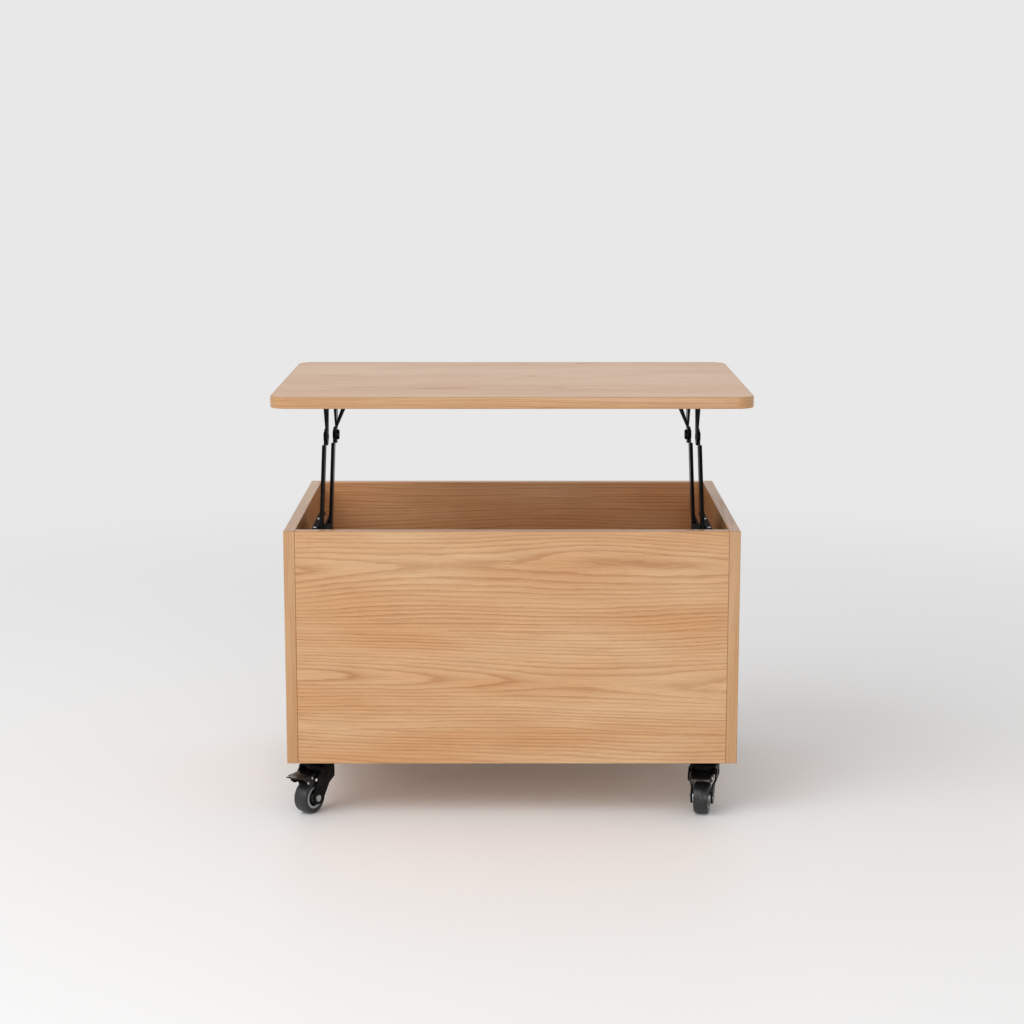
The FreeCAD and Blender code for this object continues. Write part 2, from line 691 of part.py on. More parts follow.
def build_casters():
    for name, caster in casters.items():
        pieces = {
            "fork": caster_fork(caster["brake"]),
            "axle": caster_axle(),
            "tyre": caster_tyre(),
            "wheel_core": caster_wheel_core(),
            "bearing": caster_bearing(),
        }
        if caster["brake"]:
            pieces["brake_pedal"] = brake_pedal()
            pieces["brake_pin"] = brake_pin()
        across_cabinet = caster["side"] * (half_width - caster_inset_side)
        along_cabinet = caster["end"] * (cabinet_depth / 2 - caster_inset_end)
        spot = Vector(across_cabinet, (front_face + back_face) / 2 + along_cabinet, 0)
        for piece, shape in pieces.items():
            shape.rotate(Vector(0, 0, 0), Vector(0, 0, 1), caster["heading"])
            shape.translate(spot)
            save(f"{name}_{piece}", shape)
        plate = caster_plate()
        plate.translate(spot)
        save(f"{name}_caster_plate", plate)


os.makedirs("parts", exist_ok=True)
build_cabinet()
build_top()
build_linkage()
build_casters()
print("front face at Y", round(front_face, 3), "rim at Z", rim)
print("base pins", base_pins, "top pins", top_pins)
print("top underside", round(top_underside, 3), "top front", round(top_front, 3))
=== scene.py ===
import json
import math

import bmesh
import bpy
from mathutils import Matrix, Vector


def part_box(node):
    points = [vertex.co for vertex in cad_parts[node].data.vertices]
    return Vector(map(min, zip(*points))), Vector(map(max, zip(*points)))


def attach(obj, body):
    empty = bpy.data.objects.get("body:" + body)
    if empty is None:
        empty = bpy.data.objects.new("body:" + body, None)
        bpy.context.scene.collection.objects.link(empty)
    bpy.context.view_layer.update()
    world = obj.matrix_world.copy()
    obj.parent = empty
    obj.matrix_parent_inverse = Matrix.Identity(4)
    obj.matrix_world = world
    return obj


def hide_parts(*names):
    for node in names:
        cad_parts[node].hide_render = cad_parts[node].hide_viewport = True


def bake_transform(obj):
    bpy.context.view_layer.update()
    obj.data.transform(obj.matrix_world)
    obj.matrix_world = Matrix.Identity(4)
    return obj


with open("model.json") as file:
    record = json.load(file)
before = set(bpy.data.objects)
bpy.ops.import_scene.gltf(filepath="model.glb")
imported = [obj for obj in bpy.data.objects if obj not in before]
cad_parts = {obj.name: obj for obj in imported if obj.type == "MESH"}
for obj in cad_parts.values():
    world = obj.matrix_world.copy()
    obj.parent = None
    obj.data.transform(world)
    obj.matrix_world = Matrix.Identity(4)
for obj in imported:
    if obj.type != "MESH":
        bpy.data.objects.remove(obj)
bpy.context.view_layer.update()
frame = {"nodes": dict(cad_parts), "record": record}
print("frame loaded with", len(frame["nodes"]), "nodes")

mm = 0.001


def linear(hexColour):
    # sRGB hex to the linear values that a shader takes
    parts = [int(hexColour[i:i + 2], 16) / 255 for i in (1, 3, 5)]
    return (*(c / 12.92 if c <= 0.04045 else ((c + 0.055) / 1.055) ** 2.4 for c in parts), 1.0)


def add(tree, kind, links=None, stops=None, **settings):
    # one node: links feed its inputs, each by name or number from a socket or a value, and settings are its
    # properties
    made = tree.nodes.new(kind)
    for key, value in settings.items():
        setattr(made, key, value)
    if stops:
        ramp = made.color_ramp
        while len(ramp.elements) < len(stops):
            ramp.elements.new(0.5)
        for element, (position, colour) in zip(ramp.elements, stops):
            element.position = position
            element.color = colour
    for key, source in (links or {}).items():
        if isinstance(source, bpy.types.NodeSocket):
            tree.links.new(source, made.inputs[key])
        else:
            made.inputs[key].default_value = source
    return made.outputs


def newMaterial(name):
    material = bpy.data.materials.new(name)
    material.use_nodes = True
    material.node_tree.nodes.clear()
    return material, material.node_tree


def finishMaterial(tree, shaderLinks):
    surface = add(tree, "ShaderNodeBsdfPrincipled", shaderLinks)
    add(tree, "ShaderNodeOutputMaterial", {"Surface": surface["BSDF"]})


# oak veneer on board: crown-cut leaves laid side by side, sanded and sealed with a satin lacquer.
# The eye gets pale tan wood with cathedral figure in the middle of each leaf, straighter lines between
# the leaves, short pores along the grain and a soft sheen.
oak = {
    "pale": "#D1A97E",
    "warm": "#C99767",
    "line": "#9C5F2B",
    "pore": "#8C5E36",
    "leafWidth": 148 * mm,
    "ringWidth": 4.1 * mm,
    "ringProfile": ((0.0, 0.9), (0.07, 1.0), (0.22, 0.5), (0.5, 0.14), (0.88, 0.08), (1.0, 0.9)),
    "pithDepth": 27 * mm,
    # noise: its size along and across the grain, its shift, its detail and its roughness
    "clouds": {
        "pith": (520 * mm, 220 * mm, 9.4, 0.0, 0.5),
        "broad": (650 * mm, 130 * mm, 3.1, 1.0, 0.5),
        "middle": (170 * mm, 34 * mm, 7.7, 1.0, 0.5),
        "fine": (34 * mm, 3.6 * mm, 5.3, 2.0, 0.6),
        "patches": (300 * mm, 60 * mm, 12.0, 2.0, 0.5),
        "streaks": (80 * mm, 1.4 * mm, 1.3, 3.0, 0.6),
        # real pores are 0.3 mm across, drawn coarser so that they show
        "pores": (13 * mm, 1.1 * mm, 2.9, 2.0, 0.6),
    },
    "cloudDrift": 1.7,  # shift across the grain for each shift along it
    "sways": {"pith": 17 * mm, "broad": 26 * mm, "middle": 2.6 * mm, "fine": 1.0 * mm},
    "faintestRing": 0.3,
    "patchRange": (0.3, 0.7),
    "calmPatch": 0.66,  # share of their contrast that lines keep where the figure is calm
    "warmRange": (0.35, 0.65),
    "streakRange": (0.25, 0.75),
    "streakShades": (0.82, 1.15),
    "poreRange": (0.56, 0.74),
    "poresInPale": 0.35,  # the ring lines hold most of the pores
    "lineShare": 0.8,
    "poreShare": 0.4,
    "edgeFrom": 0.7,  # a surface that turns further than this from the face is an edge
    "edgeTurn": 61 * mm,  # puts a banded edge on the straight lines between two leaves
    "edgeFineness": 1.8,  # edges are cut across the ring faces, so their lines lie closer
    "edgeLines": 0.5,  # share of the face's contrast that its edges keep
    "edgeShade": 0.87,  # solid edges are a little darker than the veneered faces
    "relief": 0.08 * mm,
    "reliefStrength": 0.35,
    "roughness": 0.3,
    "roughSpread": (0.03, 0.1),
}


def oakVeneer(name, along, across, through, leafCentre, cut, paintedLightGain=(1.0, 1.0, 1.0), fromMap=False):
    # along, across and through the grain are 0, 1 and 2 for X, Y and Z; fromMap takes the mesh's UV instead.
    # leafCentre is the middle of a leaf, cut sets one board's figure apart from another's, and the gain is
    # painted light: it multiplies the wood's colour to lighten or tint a board as light would
    material, tree = newMaterial(name)
    place = add(tree, "ShaderNodeTexCoord")
    lineShare, shadeShare = oak["lineShare"], oak["edgeShade"]
    if fromMap:
        spot = add(tree, "ShaderNodeSeparateXYZ", {0: place["UV"]})
        run = spot[0]
        side = add(tree, "ShaderNodeMath", {0: spot[1], 1: oak["edgeFineness"], 2: oak["edgeTurn"]},
                   operation="MULTIPLY_ADD")[0]
    else:
        spot = add(tree, "ShaderNodeSeparateXYZ", {0: place["Object"]})
        facing = add(tree, "ShaderNodeSeparateXYZ", {0: place["Normal"]})
        upright = add(tree, "ShaderNodeMath", {0: facing[through]}, operation="ABSOLUTE")[0]
        onEdge = add(tree, "ShaderNodeMath", {0: upright, 1: oak["edgeFrom"]}, operation="LESS_THAN")[0]
        bothRuns = add(tree, "ShaderNodeMath", {0: spot[along], 1: spot[across]}, operation="ADD")[0]
        run = add(tree, "ShaderNodeMix", {0: onEdge, 2: spot[along], 3: bothRuns})[0]
        faceSide = add(tree, "ShaderNodeMath", {0: spot[across], 1: leafCentre}, operation="SUBTRACT")[0]
        edgeSide = add(tree, "ShaderNodeMath", {0: spot[through], 1: oak["edgeFineness"],
                                                2: oak["edgeTurn"]}, operation="MULTIPLY_ADD")[0]
        side = add(tree, "ShaderNodeMix", {0: onEdge, 2: faceSide, 3: edgeSide})[0]
        lineShare = add(tree, "ShaderNodeMapRange", {0: onEdge, 3: oak["lineShare"],
                                                     4: oak["lineShare"] * oak["edgeLines"]})[0]
        shadeShare = add(tree, "ShaderNodeMapRange", {0: onEdge, 3: 1.0, 4: oak["edgeShade"]})[0]
    grain = add(tree, "ShaderNodeCombineXYZ", {0: run, 1: side, 2: cut})[0]

    def cloud(kind):
        length, width, shift, detail, rough = oak["clouds"][kind]
        scaled = add(tree, "ShaderNodeMapping", {0: grain, 1: (shift, shift * oak["cloudDrift"], cut),
                                                 3: (1 / length, 1 / width, 1.0)})[0]
        return add(tree, "ShaderNodeTexNoise", {"Vector": scaled, "Scale": 1.0, "Detail": detail,
                                                "Roughness": rough})[0]

    def swayed(source, kind):
        # source pushed to and fro by the noise of that kind
        most = oak["sways"][kind]
        sway = add(tree, "ShaderNodeMapRange", {0: cloud(kind), 3: -most, 4: most})[0]
        return add(tree, "ShaderNodeMath", {0: source, 1: sway}, operation="ADD")[0]

    # growth rings: distance from the pith of the log that the leaf was cut from
    fromHeart = add(tree, "ShaderNodeMath", {0: swayed(side, "broad"), 1: oak["leafWidth"] / 2},
                    operation="PINGPONG")[0]
    reach = add(tree, "ShaderNodeCombineXYZ", {0: fromHeart, 1: swayed(oak["pithDepth"], "pith"), 2: 0.0})[0]
    radius = add(tree, "ShaderNodeVectorMath", {0: reach}, operation="LENGTH")["Value"]
    radius = swayed(swayed(radius, "middle"), "fine")
    rings = add(tree, "ShaderNodeMath", {0: radius, 1: oak["ringWidth"]}, operation="DIVIDE")[0]
    phase = add(tree, "ShaderNodeMath", {0: rings}, operation="FRACT")[0]
    ring = add(tree, "ShaderNodeMath", {0: rings}, operation="FLOOR")[0]
    bold = add(tree, "ShaderNodeTexWhiteNoise", {"W": ring}, noise_dimensions="1D")["Value"]
    bold = add(tree, "ShaderNodeMapRange", {0: bold, 3: oak["faintestRing"], 4: 1.0})[0]
    profile = add(tree, "ShaderNodeValToRGB", {0: phase},
                  stops=[(position, (depth, depth, depth, 1.0)) for position, depth in oak["ringProfile"]])[0]
    patches = cloud("patches")
    low, high = oak["patchRange"]
    strength = add(tree, "ShaderNodeMapRange", {0: patches, 1: low, 2: high, 3: oak["calmPatch"], 4: 1.0})[0]
    lines = profile
    for share in (bold, strength):
        lines = add(tree, "ShaderNodeMath", {0: lines, 1: share}, operation="MULTIPLY")[0]
    low, high = oak["poreRange"]
    pores = add(tree, "ShaderNodeMapRange", {0: cloud("pores"), 1: low, 2: high})[0]
    poreRoom = add(tree, "ShaderNodeMapRange", {0: profile, 3: oak["poresInPale"], 4: 1.0})[0]
    pores = add(tree, "ShaderNodeMath", {0: pores, 1: poreRoom}, operation="MULTIPLY")[0]

    # colour: pale and warm ground, streaked, then the lines and pores over it
    low, high = oak["warmRange"]
    warmth = add(tree, "ShaderNodeMapRange", {0: patches, 1: low, 2: high})[0]
    wood = add(tree, "ShaderNodeMix", {0: warmth, 6: linear(oak["pale"]), 7: linear(oak["warm"])},
               data_type="RGBA")[2]
    low, high = oak["streakRange"]
    dark, light = oak["streakShades"]
    shade = add(tree, "ShaderNodeMapRange", {0: cloud("streaks"), 1: low, 2: high, 3: dark, 4: light})[0]
    shade = add(tree, "ShaderNodeMath", {0: shade, 1: shadeShare}, operation="MULTIPLY")[0]
    wood = add(tree, "ShaderNodeMix", {0: 1.0, 6: wood, 7: shade}, data_type="RGBA", blend_type="MULTIPLY")[2]
    for marks, share, colour in ((lines, lineShare, oak["line"]), (pores, oak["poreShare"], oak["pore"])):
        cover = add(tree, "ShaderNodeMath", {0: marks, 1: share}, operation="MULTIPLY")[0]
        wood = add(tree, "ShaderNodeMix", {0: cover, 6: wood, 7: linear(colour)}, data_type="RGBA")[2]
    # painted light: the gain lightens and tints the board's colour in place of light that falls on it
    wood = add(tree, "ShaderNodeMix", {0: 1.0, 6: wood, 7: (*paintedLightGain, 1.0)}, data_type="RGBA",
               blend_type="MULTIPLY")[2]
    relief = add(tree, "ShaderNodeMath", {0: pores, 1: lines}, operation="ADD")[0]
    bump = add(tree, "ShaderNodeBump", {"Height": relief, "Strength": oak["reliefStrength"],
                                        "Distance": oak["relief"]}, invert=True)[0]
    smoother, rougher = oak["roughSpread"]
    rough = add(tree, "ShaderNodeMapRange", {0: lines, 3: oak["roughness"] - smoother,
                                             4: oak["roughness"] + rougher})[0]
    finishMaterial(tree, {"Base Color": wood, "Roughness": rough, "Normal": bump})
    return material


# surfaces of the fittings: fine is the grain that stands out, wide the size over which colour and roughness
# drift, detail that of the two noises, and spread how far the roughness drifts below and above its own value
powderCoat = {"wide": 40 * mm, "spread": (0.06, 0.06), "detail": (2.0, 3.0), "bump": 0.25,
              "relief": 0.05 * mm, "metallic": 0.0}
bareMetal = {"wide": 9 * mm, "spread": (0.08, 0.1), "detail": (2.0, 3.0), "bump": 0.15,
             "relief": 0.03 * mm, "metallic": 1.0, "gloss": 0.5}
moulded = {"wide": 14 * mm, "spread": (0.05, 0.07), "detail": (4.0, 3.0), "bump": 0.3,
           "blotches": (0.15, 0.4), "metallic": 0.0}
fittings = {
    # mild steel with a fine-textured black powder coat, baked on: near black, satin, with a faint orange peel
    "blackSteel": {**powderCoat, "name": "blackPowderCoatedSteel", "colours": ("#080808", "#0E0E0F"),
                   "fine": 0.9 * mm, "roughness": 0.36, "gloss": 0.1},
    # the same steel under a matt coat that takes nearly all the light
    "mattSteel": {**powderCoat, "name": "mattBlackPowderCoatedSteel", "colours": ("#060606", "#0B0B0B"),
                  "fine": 1.2 * mm, "roughness": 0.68, "gloss": 0.04},
    # pressed pedal steel under a glossy coat that mirrors the room in streaks
    "pedalSteel": {**powderCoat, "name": "glossyBlackPedalCoat", "colours": ("#0B0908", "#14110F"),
                   "fine": 1.4 * mm, "roughness": 0.24, "gloss": 0.4},
    # turned steel, blackened in hot oxide: dark grey with a soft metal sheen
    "blackPin": {**bareMetal, "name": "blackenedSteelPin", "colours": ("#2E2E30", "#1A1A1C"),
                 "fine": 0.5 * mm, "roughness": 0.3},
    # cold-headed steel, zinc plated: bright and slightly hazy
    "zincSteel": {**bareMetal, "name": "zincPlatedSteel", "colours": ("#C9CBCC", "#A9ACAE"),
                  "fine": 0.5 * mm, "roughness": 0.28},
    # hard-drawn steel wire, tempered in oil: dark, with a dull shine
    "springWire": {**bareMetal, "name": "oilTemperedSpringWire", "colours": ("#3A3B3D", "#242527"),
                   "fine": 0.6 * mm, "roughness": 0.36},
    # moulded thermoplastic rubber: dark grey with a little floor dust on its tread
    "tyreRubber": {**moulded, "name": "mouldedTyreRubber", "colours": ("#212122", "#313132"),
                   "fine": 1.6 * mm, "roughness": 0.34, "relief": 0.08 * mm, "gloss": 0.4},
    # moulded nylon, grey for the rim and black for the disc: smooth, with a soft shine
    "rimNylon": {**moulded, "name": "greyMouldedNylon", "colours": ("#8D8E8F", "#9B9C9D"),
                 "fine": 2.5 * mm, "roughness": 0.4, "relief": 0.03 * mm, "gloss": 0.5},
    "discNylon": {**moulded, "name": "blackMouldedNylon", "colours": ("#0D0D0E", "#151516"),
                  "fine": 2.5 * mm, "roughness": 0.34, "relief": 0.03 * mm, "gloss": 0.3},
}


def fittingMaterial(look):
    material, tree = newMaterial(look["name"])
    place = add(tree, "ShaderNodeTexCoord")["Object"]
    fine, wide = [add(tree, "ShaderNodeTexNoise", {"Vector": place, "Scale": 1 / look[size],
                                                   "Detail": detail})[0]
                  for size, detail in zip(("fine", "wide"), look["detail"])]
    share = wide
    if "blotches" in look:
        low, high = look["blotches"]
        both = add(tree, "ShaderNodeMath", {0: fine, 1: wide}, operation="MULTIPLY")[0]
        share = add(tree, "ShaderNodeMapRange", {0: both, 1: low, 2: high})[0]
    first, second = look["colours"]
    colour = add(tree, "ShaderNodeMix", {0: share, 6: linear(first), 7: linear(second)}, data_type="RGBA")[2]
    below, above = look["spread"]
    rough = add(tree, "ShaderNodeMapRange", {0: wide, 3: look["roughness"] - below,
                                             4: look["roughness"] + above})[0]
    bump = add(tree, "ShaderNodeBump", {"Height": fine, "Strength": look["bump"],
                                        "Distance": look["relief"]})[0]
    finishMaterial(tree, {"Base Color": colour, "Roughness": rough, "Normal": bump,
                          "Metallic": look["metallic"], "Specular IOR Level": look["gloss"]})
    return material


materials = {key: fittingMaterial(look) for key, look in fittings.items()}

# how each board's veneer lies
cabinetFront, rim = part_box("front_panel")[0].y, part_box("front_panel")[1].z
longGrain = {"along": 0, "across": 2, "through": 1}
sideGrain = {"along": 1, "across": 2, "through": 0}
levelGrain = {"along": 0, "across": 1, "through": 2}
boards = {
    "front_panel": {**longGrain, "leafCentre": rim - 50 * mm, "cut": 0.0},
    # the back board's gain is painted light: it lightens and warms the whole board, inside and out, in place
    # of the light that bounces into the cabinet's shaded inside
    "back_panel": {**longGrain, "leafCentre": rim - 95 * mm, "cut": 4.2, "paintedLightGain": (1.12, 1.04, 1.0)},
    "bottom_panel": {**levelGrain, "leafCentre": 50 * mm, "cut": 8.1},
    "left_side_panel": {**sideGrain, "leafCentre": rim - 60 * mm, "cut": 11.3},
    "right_side_panel": {**sideGrain, "leafCentre": rim - 84 * mm, "cut": 15.9},
}

# the bearings are the only CAD nodes that still show
for node in frame["nodes"]:
    if node.endswith("bearing"):
        mesh = frame["nodes"][node].data
        mesh.materials.clear()
        mesh.materials.append(materials["zincSteel"])
print("materials made")


def inScene(name, data):
    made = bpy.data.objects.new(name, data)
    bpy.context.scene.collection.objects.link(made)
    return made


def placePiece(name, mesh, material, body, slot, *replaced):
    # material is None where the mesh has its own, and body None where the piece is not attached to a body
    piece = inScene(name, mesh)
    if material:
        mesh.materials.clear()
        mesh.materials.append(material)
    if body:
        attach(piece, body)
    if replaced:
        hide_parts(*replaced)
    return piece


def ended(mesh, name):
    # edited mesh to a plain one, with its faces outwards
    bmesh.ops.recalc_face_normals(mesh, faces=mesh.faces)
    made = bpy.data.meshes.new(name)
    mesh.to_mesh(made)
    mesh.free()
    return made


def settled(mesh, name, sharpAngle=40):
    # the same, and smooth apart from its real edges
    for face in mesh.faces:
        face.smooth = True
    made = ended(mesh, name)
    made.set_sharp_from_angle(angle=math.radians(sharpAngle))
    return made


def applied(name, mesh, *modifiers):
    # mesh with modifiers run on it, each a kind and its settings
    holder = inScene(name + "_holder", mesh)
    for kind, settings in modifiers:
        modifier = holder.modifiers.new(kind.lower(), kind)
        for key, value in settings.items():
            if hasattr(modifier, key):
                setattr(modifier, key, value)
            else:
                modifier[key] = value
    bpy.context.view_layer.update()
    made = bpy.data.meshes.new_from_object(holder.evaluated_get(bpy.context.evaluated_depsgraph_get()))
    made.name = name
    bpy.data.objects.remove(holder)
    return made


# edges of the CAD's boards and pressed parts, broken as sanding or the press tool leaves them
easing = {"board": 0.6 * mm, "steel": 0.35 * mm, "fromAngle": 38, "segments": 2, "weight": 60,
          "weld": 0.001 * mm, "flatWithin": 0.5}


def brokenEdges(mesh, name, width, fromAngle):
    return applied(name, settled(mesh, name + "_plain", fromAngle),
                   ("BEVEL", {"width": width, "segments": easing["segments"], "limit_method": "ANGLE",
                              "angle_limit": math.radians(fromAngle), "use_clamp_overlap": True}),
                   ("WEIGHTED_NORMAL", {"keep_sharp": False, "weight": easing["weight"]}))


def eased(node, width, reshape=None):
    mesh = bmesh.new()
    mesh.from_mesh(frame["nodes"][node].data)
    bmesh.ops.remove_doubles(mesh, verts=mesh.verts, dist=easing["weld"])
    bmesh.ops.dissolve_limit(mesh, angle_limit=math.radians(easing["flatWithin"]), verts=mesh.verts,
                             edges=mesh.edges)
    if reshape:
        for vertex in mesh.verts:
            reshape(vertex.co)
    return brokenEdges(mesh, node + "_eased", width, easing["fromAngle"])


joints = {joint["name"]: joint for joint in frame["record"]["behaviour"]["joints"]}
bodyOf = {node: body for body, nodes in frame["record"]["behaviour"]["bodies"].items() for node in nodes}
for node, look in boards.items():
    placePiece(node + "_board", eased(node, easing["board"]), oakVeneer("oakVeneer_" + node, **look),
               bodyOf[node], "oak_veneer", node)

# the inner faces of the side boards stand this far from the middle
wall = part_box("right_side_panel")[0].x
# the top brackets' stays lean further in than the solids' do, and their outer legs thicken upwards
splay = {"from": 42.3 * mm, "by": 1.72, "legFace": 31.2 * mm, "legOut": 4.4 * mm, "within": 0.3 * mm,
         "legFrom": joints["top_level"]["pos_m"][2] + 20 * mm}


def splayStay(spot):
    offset = wall - abs(spot.x)
    if offset > splay["from"]:
        offset = splay["from"] + (offset - splay["from"]) * splay["by"]
    elif abs(offset - splay["legFace"]) < splay["within"] and spot.z > splay["legFrom"]:
        offset -= splay["legOut"]
    spot.x = math.copysign(wall - offset, spot.x)


for node in frame["nodes"]:
    if node.endswith(("base_bracket", "front_arm", "rear_arm", "top_bracket", "caster_plate", "fork")):
        shape = eased(node, easing["steel"], splayStay if node.endswith("top_bracket") else None)
        finish = "mattSteel" if node.endswith("base_bracket") else "blackSteel"
        placePiece(node + "_pressed", shape, materials[finish], bodyOf[node], "black_steel", node)
print("boards and pressed parts have broken edges")


def rounded(corners, steps=5):
    # line through corners, each a point and the radius it is rounded by, up to just under half of a run
    line, most = [corners[0][0]], 0.49
    for (before, _), (corner, radius), (after, _) in zip(corners, corners[1:], corners[2:]):
        if radius <= 0:
            line.append(corner)
            continue
        back, on = before - corner, after - corner
        reach = min(radius, most * back.length, most * on.length)
        start, end = corner + back.normalized() * reach, corner + on.normalized() * reach
        for step in range(steps + 1):
            t = step / steps
            line.append(start * (1 - t) ** 2 + corner * (2 * t * (1 - t)) + end * t ** 2)
    line.append(corners[-1][0])
    return line


def lathe(name, line, place, axis, turns=48, closed=False, sharpAngle=40):
    # body of revolution; line is (along the axis, radius), and either may be a function of the turn
    axis = Vector(axis).normalized()
    across = axis.orthogonal().normalized()
    third = axis.cross(across)
    mesh = bmesh.new()
    rings = []
    for along, radius in line:
        ring = []
        for step in range(turns):
            turn = 2 * math.pi * step / turns
            height = along(turn) if callable(along) else along
            reach = radius(turn) if callable(radius) else radius
            outwards = across * math.cos(turn) + third * math.sin(turn)
            ring.append(mesh.verts.new(Vector(place) + axis * height + outwards * reach))
            if reach == 0:
                break
        rings.append(ring)
    for a, b in zip(rings, rings[1:] + (rings[:1] if closed else [])):
        for j in range(turns):
            k = (j + 1) % turns
            corners = dict.fromkeys((a[j % len(a)], a[k % len(a)], b[k % len(b)], b[j % len(b)]))
            mesh.faces.new(list(corners))
    return settled(mesh, name, sharpAngle)


# wheels: rubber tread with soft shoulders on a nylon core that shows a pale rim round a dark disc. Each
# section has the corners of one half: distance from the wheel's middle, radius and rounding, in millimetres
wheel = {
    "tread": ((8.6, 15.0, 0.4), (9.8, 16.6, 0.8), (10.0, 18.2, 0.8), (9.6, 21.3, 3.6), (4.0, 21.9, 1.5),
              (0.3, 21.9, 0), (0.15, 22.0, 0)),
    "rim_ring": ((7.9, 15.0, 0.3), (9.5, 15.0, 0.4), (9.5, 11.8, 0.8)),
    "wheel_disc": ((12.1, 3.1, 0.3), (12.1, 7.0, 0.5), (6.0, 7.6, 1.5), (4.0, 9.2, 0.8), (4.0, 10.2, 1.0),
                   (7.0, 11.9, 0.5), (7.0, 12.2, 0)),
    "turns": 64,
}


def wheelSection(part):
    corners = [(Vector((x, y)) * mm, radius * mm) for x, y, radius in wheel[part]]
    corners += [(Vector((-corner.x, corner.y)), radius) for corner, radius in reversed(corners)]
    return [tuple(point) for point in rounded([corners[-1]] + corners + corners[:1])[1:-1]]


# axle: zinc-plated bolt with a dimpled end, a chamfered hexagon and a washer at each side of the fork; the
# corners of its end and washer are distances from the wheel's middle and radii, in millimetres
axle = {
    "end": ((16.5, 0), (16.6, 1.2), (17.4, 1.5), (17.4, 2.3), (17.1, 2.8), (16.9, 2.8)),
    "hexTop": 16.9,
    "hexFoot": 15.5,
    "acrossFlats": 7.8,
    "chamferFrom": 0.97,  # share of the flats' reach where the chamfer starts
    "chamferAngle": 30,
    "washer": ((15.5, 4.5), (15.4, 4.6), (15.0, 4.6), (15.0, 3.0)),
    "turns": 48,
    "sharpAngle": 25,
}
flatReach = axle["acrossFlats"] / 2 * mm
chamferReach = flatReach * axle["chamferFrom"]


def hexReach(turn):
    return flatReach / math.cos(turn % (math.pi / 3) - math.pi / 6)


def hexEdge(turn):
    slope = math.tan(math.radians(axle["chamferAngle"]))
    return axle["hexTop"] * mm - (hexReach(turn) - chamferReach) * slope


def axleLine():
    half = [(along * mm, radius * mm) for along, radius in axle["end"]]
    half += [(axle["hexTop"] * mm, chamferReach), (hexEdge, hexReach), (axle["hexFoot"] * mm, hexReach)]
    half += [(along * mm, radius * mm) for along, radius in axle["washer"]]
    other = [((lambda turn: -hexEdge(turn)) if callable(along) else -along, radius)
             for along, radius in reversed(half)]
    return half + other


casters = ("front_left", "front_right", "rear_left", "rear_right")
for caster in casters:
    roll = joints[caster + "_roll"]
    place, line = roll["pos_m"], roll["axis"]
    for part, finish, slot, solids in (
            ("tread", "tyreRubber", "tyre_rubber", [caster + "_tyre"]),
            ("rim_ring", "rimNylon", "wheel_plastic", []),
            ("wheel_disc", "discNylon", "wheel_plastic", [caster + "_wheel_core"])):
        name = caster + "_" + part
        shape = lathe(name, wheelSection(part), place, line, wheel["turns"], True)
        placePiece(name, shape, materials[finish], caster + "_wheel", slot, *solids)
    name = caster + "_axle_bolt"
    shape = lathe(name, axleLine(), place, line, axle["turns"], False, axle["sharpAngle"])
    placePiece(name, shape, materials["zincSteel"], caster + "_fork", "zinc_steel", caster + "_axle")
print("wheels made")

# brake rivets: blackened, with a low head at each side of the fork
brakeRivet = {"shank": 2.5 * mm, "head": 3.8 * mm, "fork": 19.5 * mm, "end": 20.9 * mm, "dome": 1.6 * mm,
              "turns": 32}
for caster in casters[:2]:
    brake = joints[caster + "_brake"]
    corners = ((brakeRivet["end"], 0, 0), (brakeRivet["end"], brakeRivet["head"], brakeRivet["dome"]),
               (brakeRivet["fork"], brakeRivet["head"], 0), (brakeRivet["fork"], brakeRivet["shank"], 0))
    half = [tuple(point) for point in rounded([(Vector((x, y)), radius) for x, y, radius in corners])]
    line = half + [(-along, radius) for along, radius in reversed(half)]
    name = caster + "_brake_rivet"
    shape = lathe(name, line, brake["pos_m"], brake["axis"], brakeRivet["turns"])
    placePiece(name, shape, materials["blackPin"], caster + "_fork", "black_pin_steel", caster + "_brake_pin")

# brake pedals: pressed plate with a lip across its front, a thin upturned tip and a cheek at each side that
# turns on the brake rivet; reach is measured ahead of the kingpin and height from the floor, in millimetres
pedal = {
    # along the middle of the plate: reach, half width and rise
    "topRuns": ((2.2, 14.5, 0.0), (10, 14.5, 0.0), (24, 14.5, 0.0), (38, 14.3, -0.2), (44, 13.6, -0.5),
                (48.5, 12.2, -0.8), (51.5, 10.4, -0.7), (54.5, 8.8, -0.3), (58, 7.5, 0.6), (61.5, 6.6, 1.6),
                (63.6, 5.4, 2.3)),
    "topHeight": 57.2,
    "topThick": 2.0,
    "across": 8,
    "camber": 0.5,
    "cheekHalf": 14.5,
    "cheekThick": 2.0,
    # reach, height and rounding
    "cheekLine": ((2.2, 57.0, 0), (2.2, 49.8, 2.4), (26.6, 49.6, 2.0), (29.4, 42.4, 2.2), (38.5, 42.6, 4.2),
                  (44.5, 48.6, 4.0), (48.6, 54.6, 1.6), (48.8, 56.0, 0)),
    # back from the lip's front and down from the top
    "lip": ((0, 1.6), (0.9, 4.6), (2.3, 4.7), (1.6, 1.6)),
    "lipFront": 49.4,
    "lipHalf": 13.2,
    "lipBow": 1.8,
    "pivot": (6.0, 54.0),
    "bossRadius": 4.2,
    "bossHalf": 15.8,
    "bossTurns": 24,
    "shoeReach": (17.5, 26.5),
    "shoeHalf": 6.0,
    "shoeHeight": (46.3, 55.7),
    "edge": 0.45 * mm,
    "edgeFrom": 40,
}


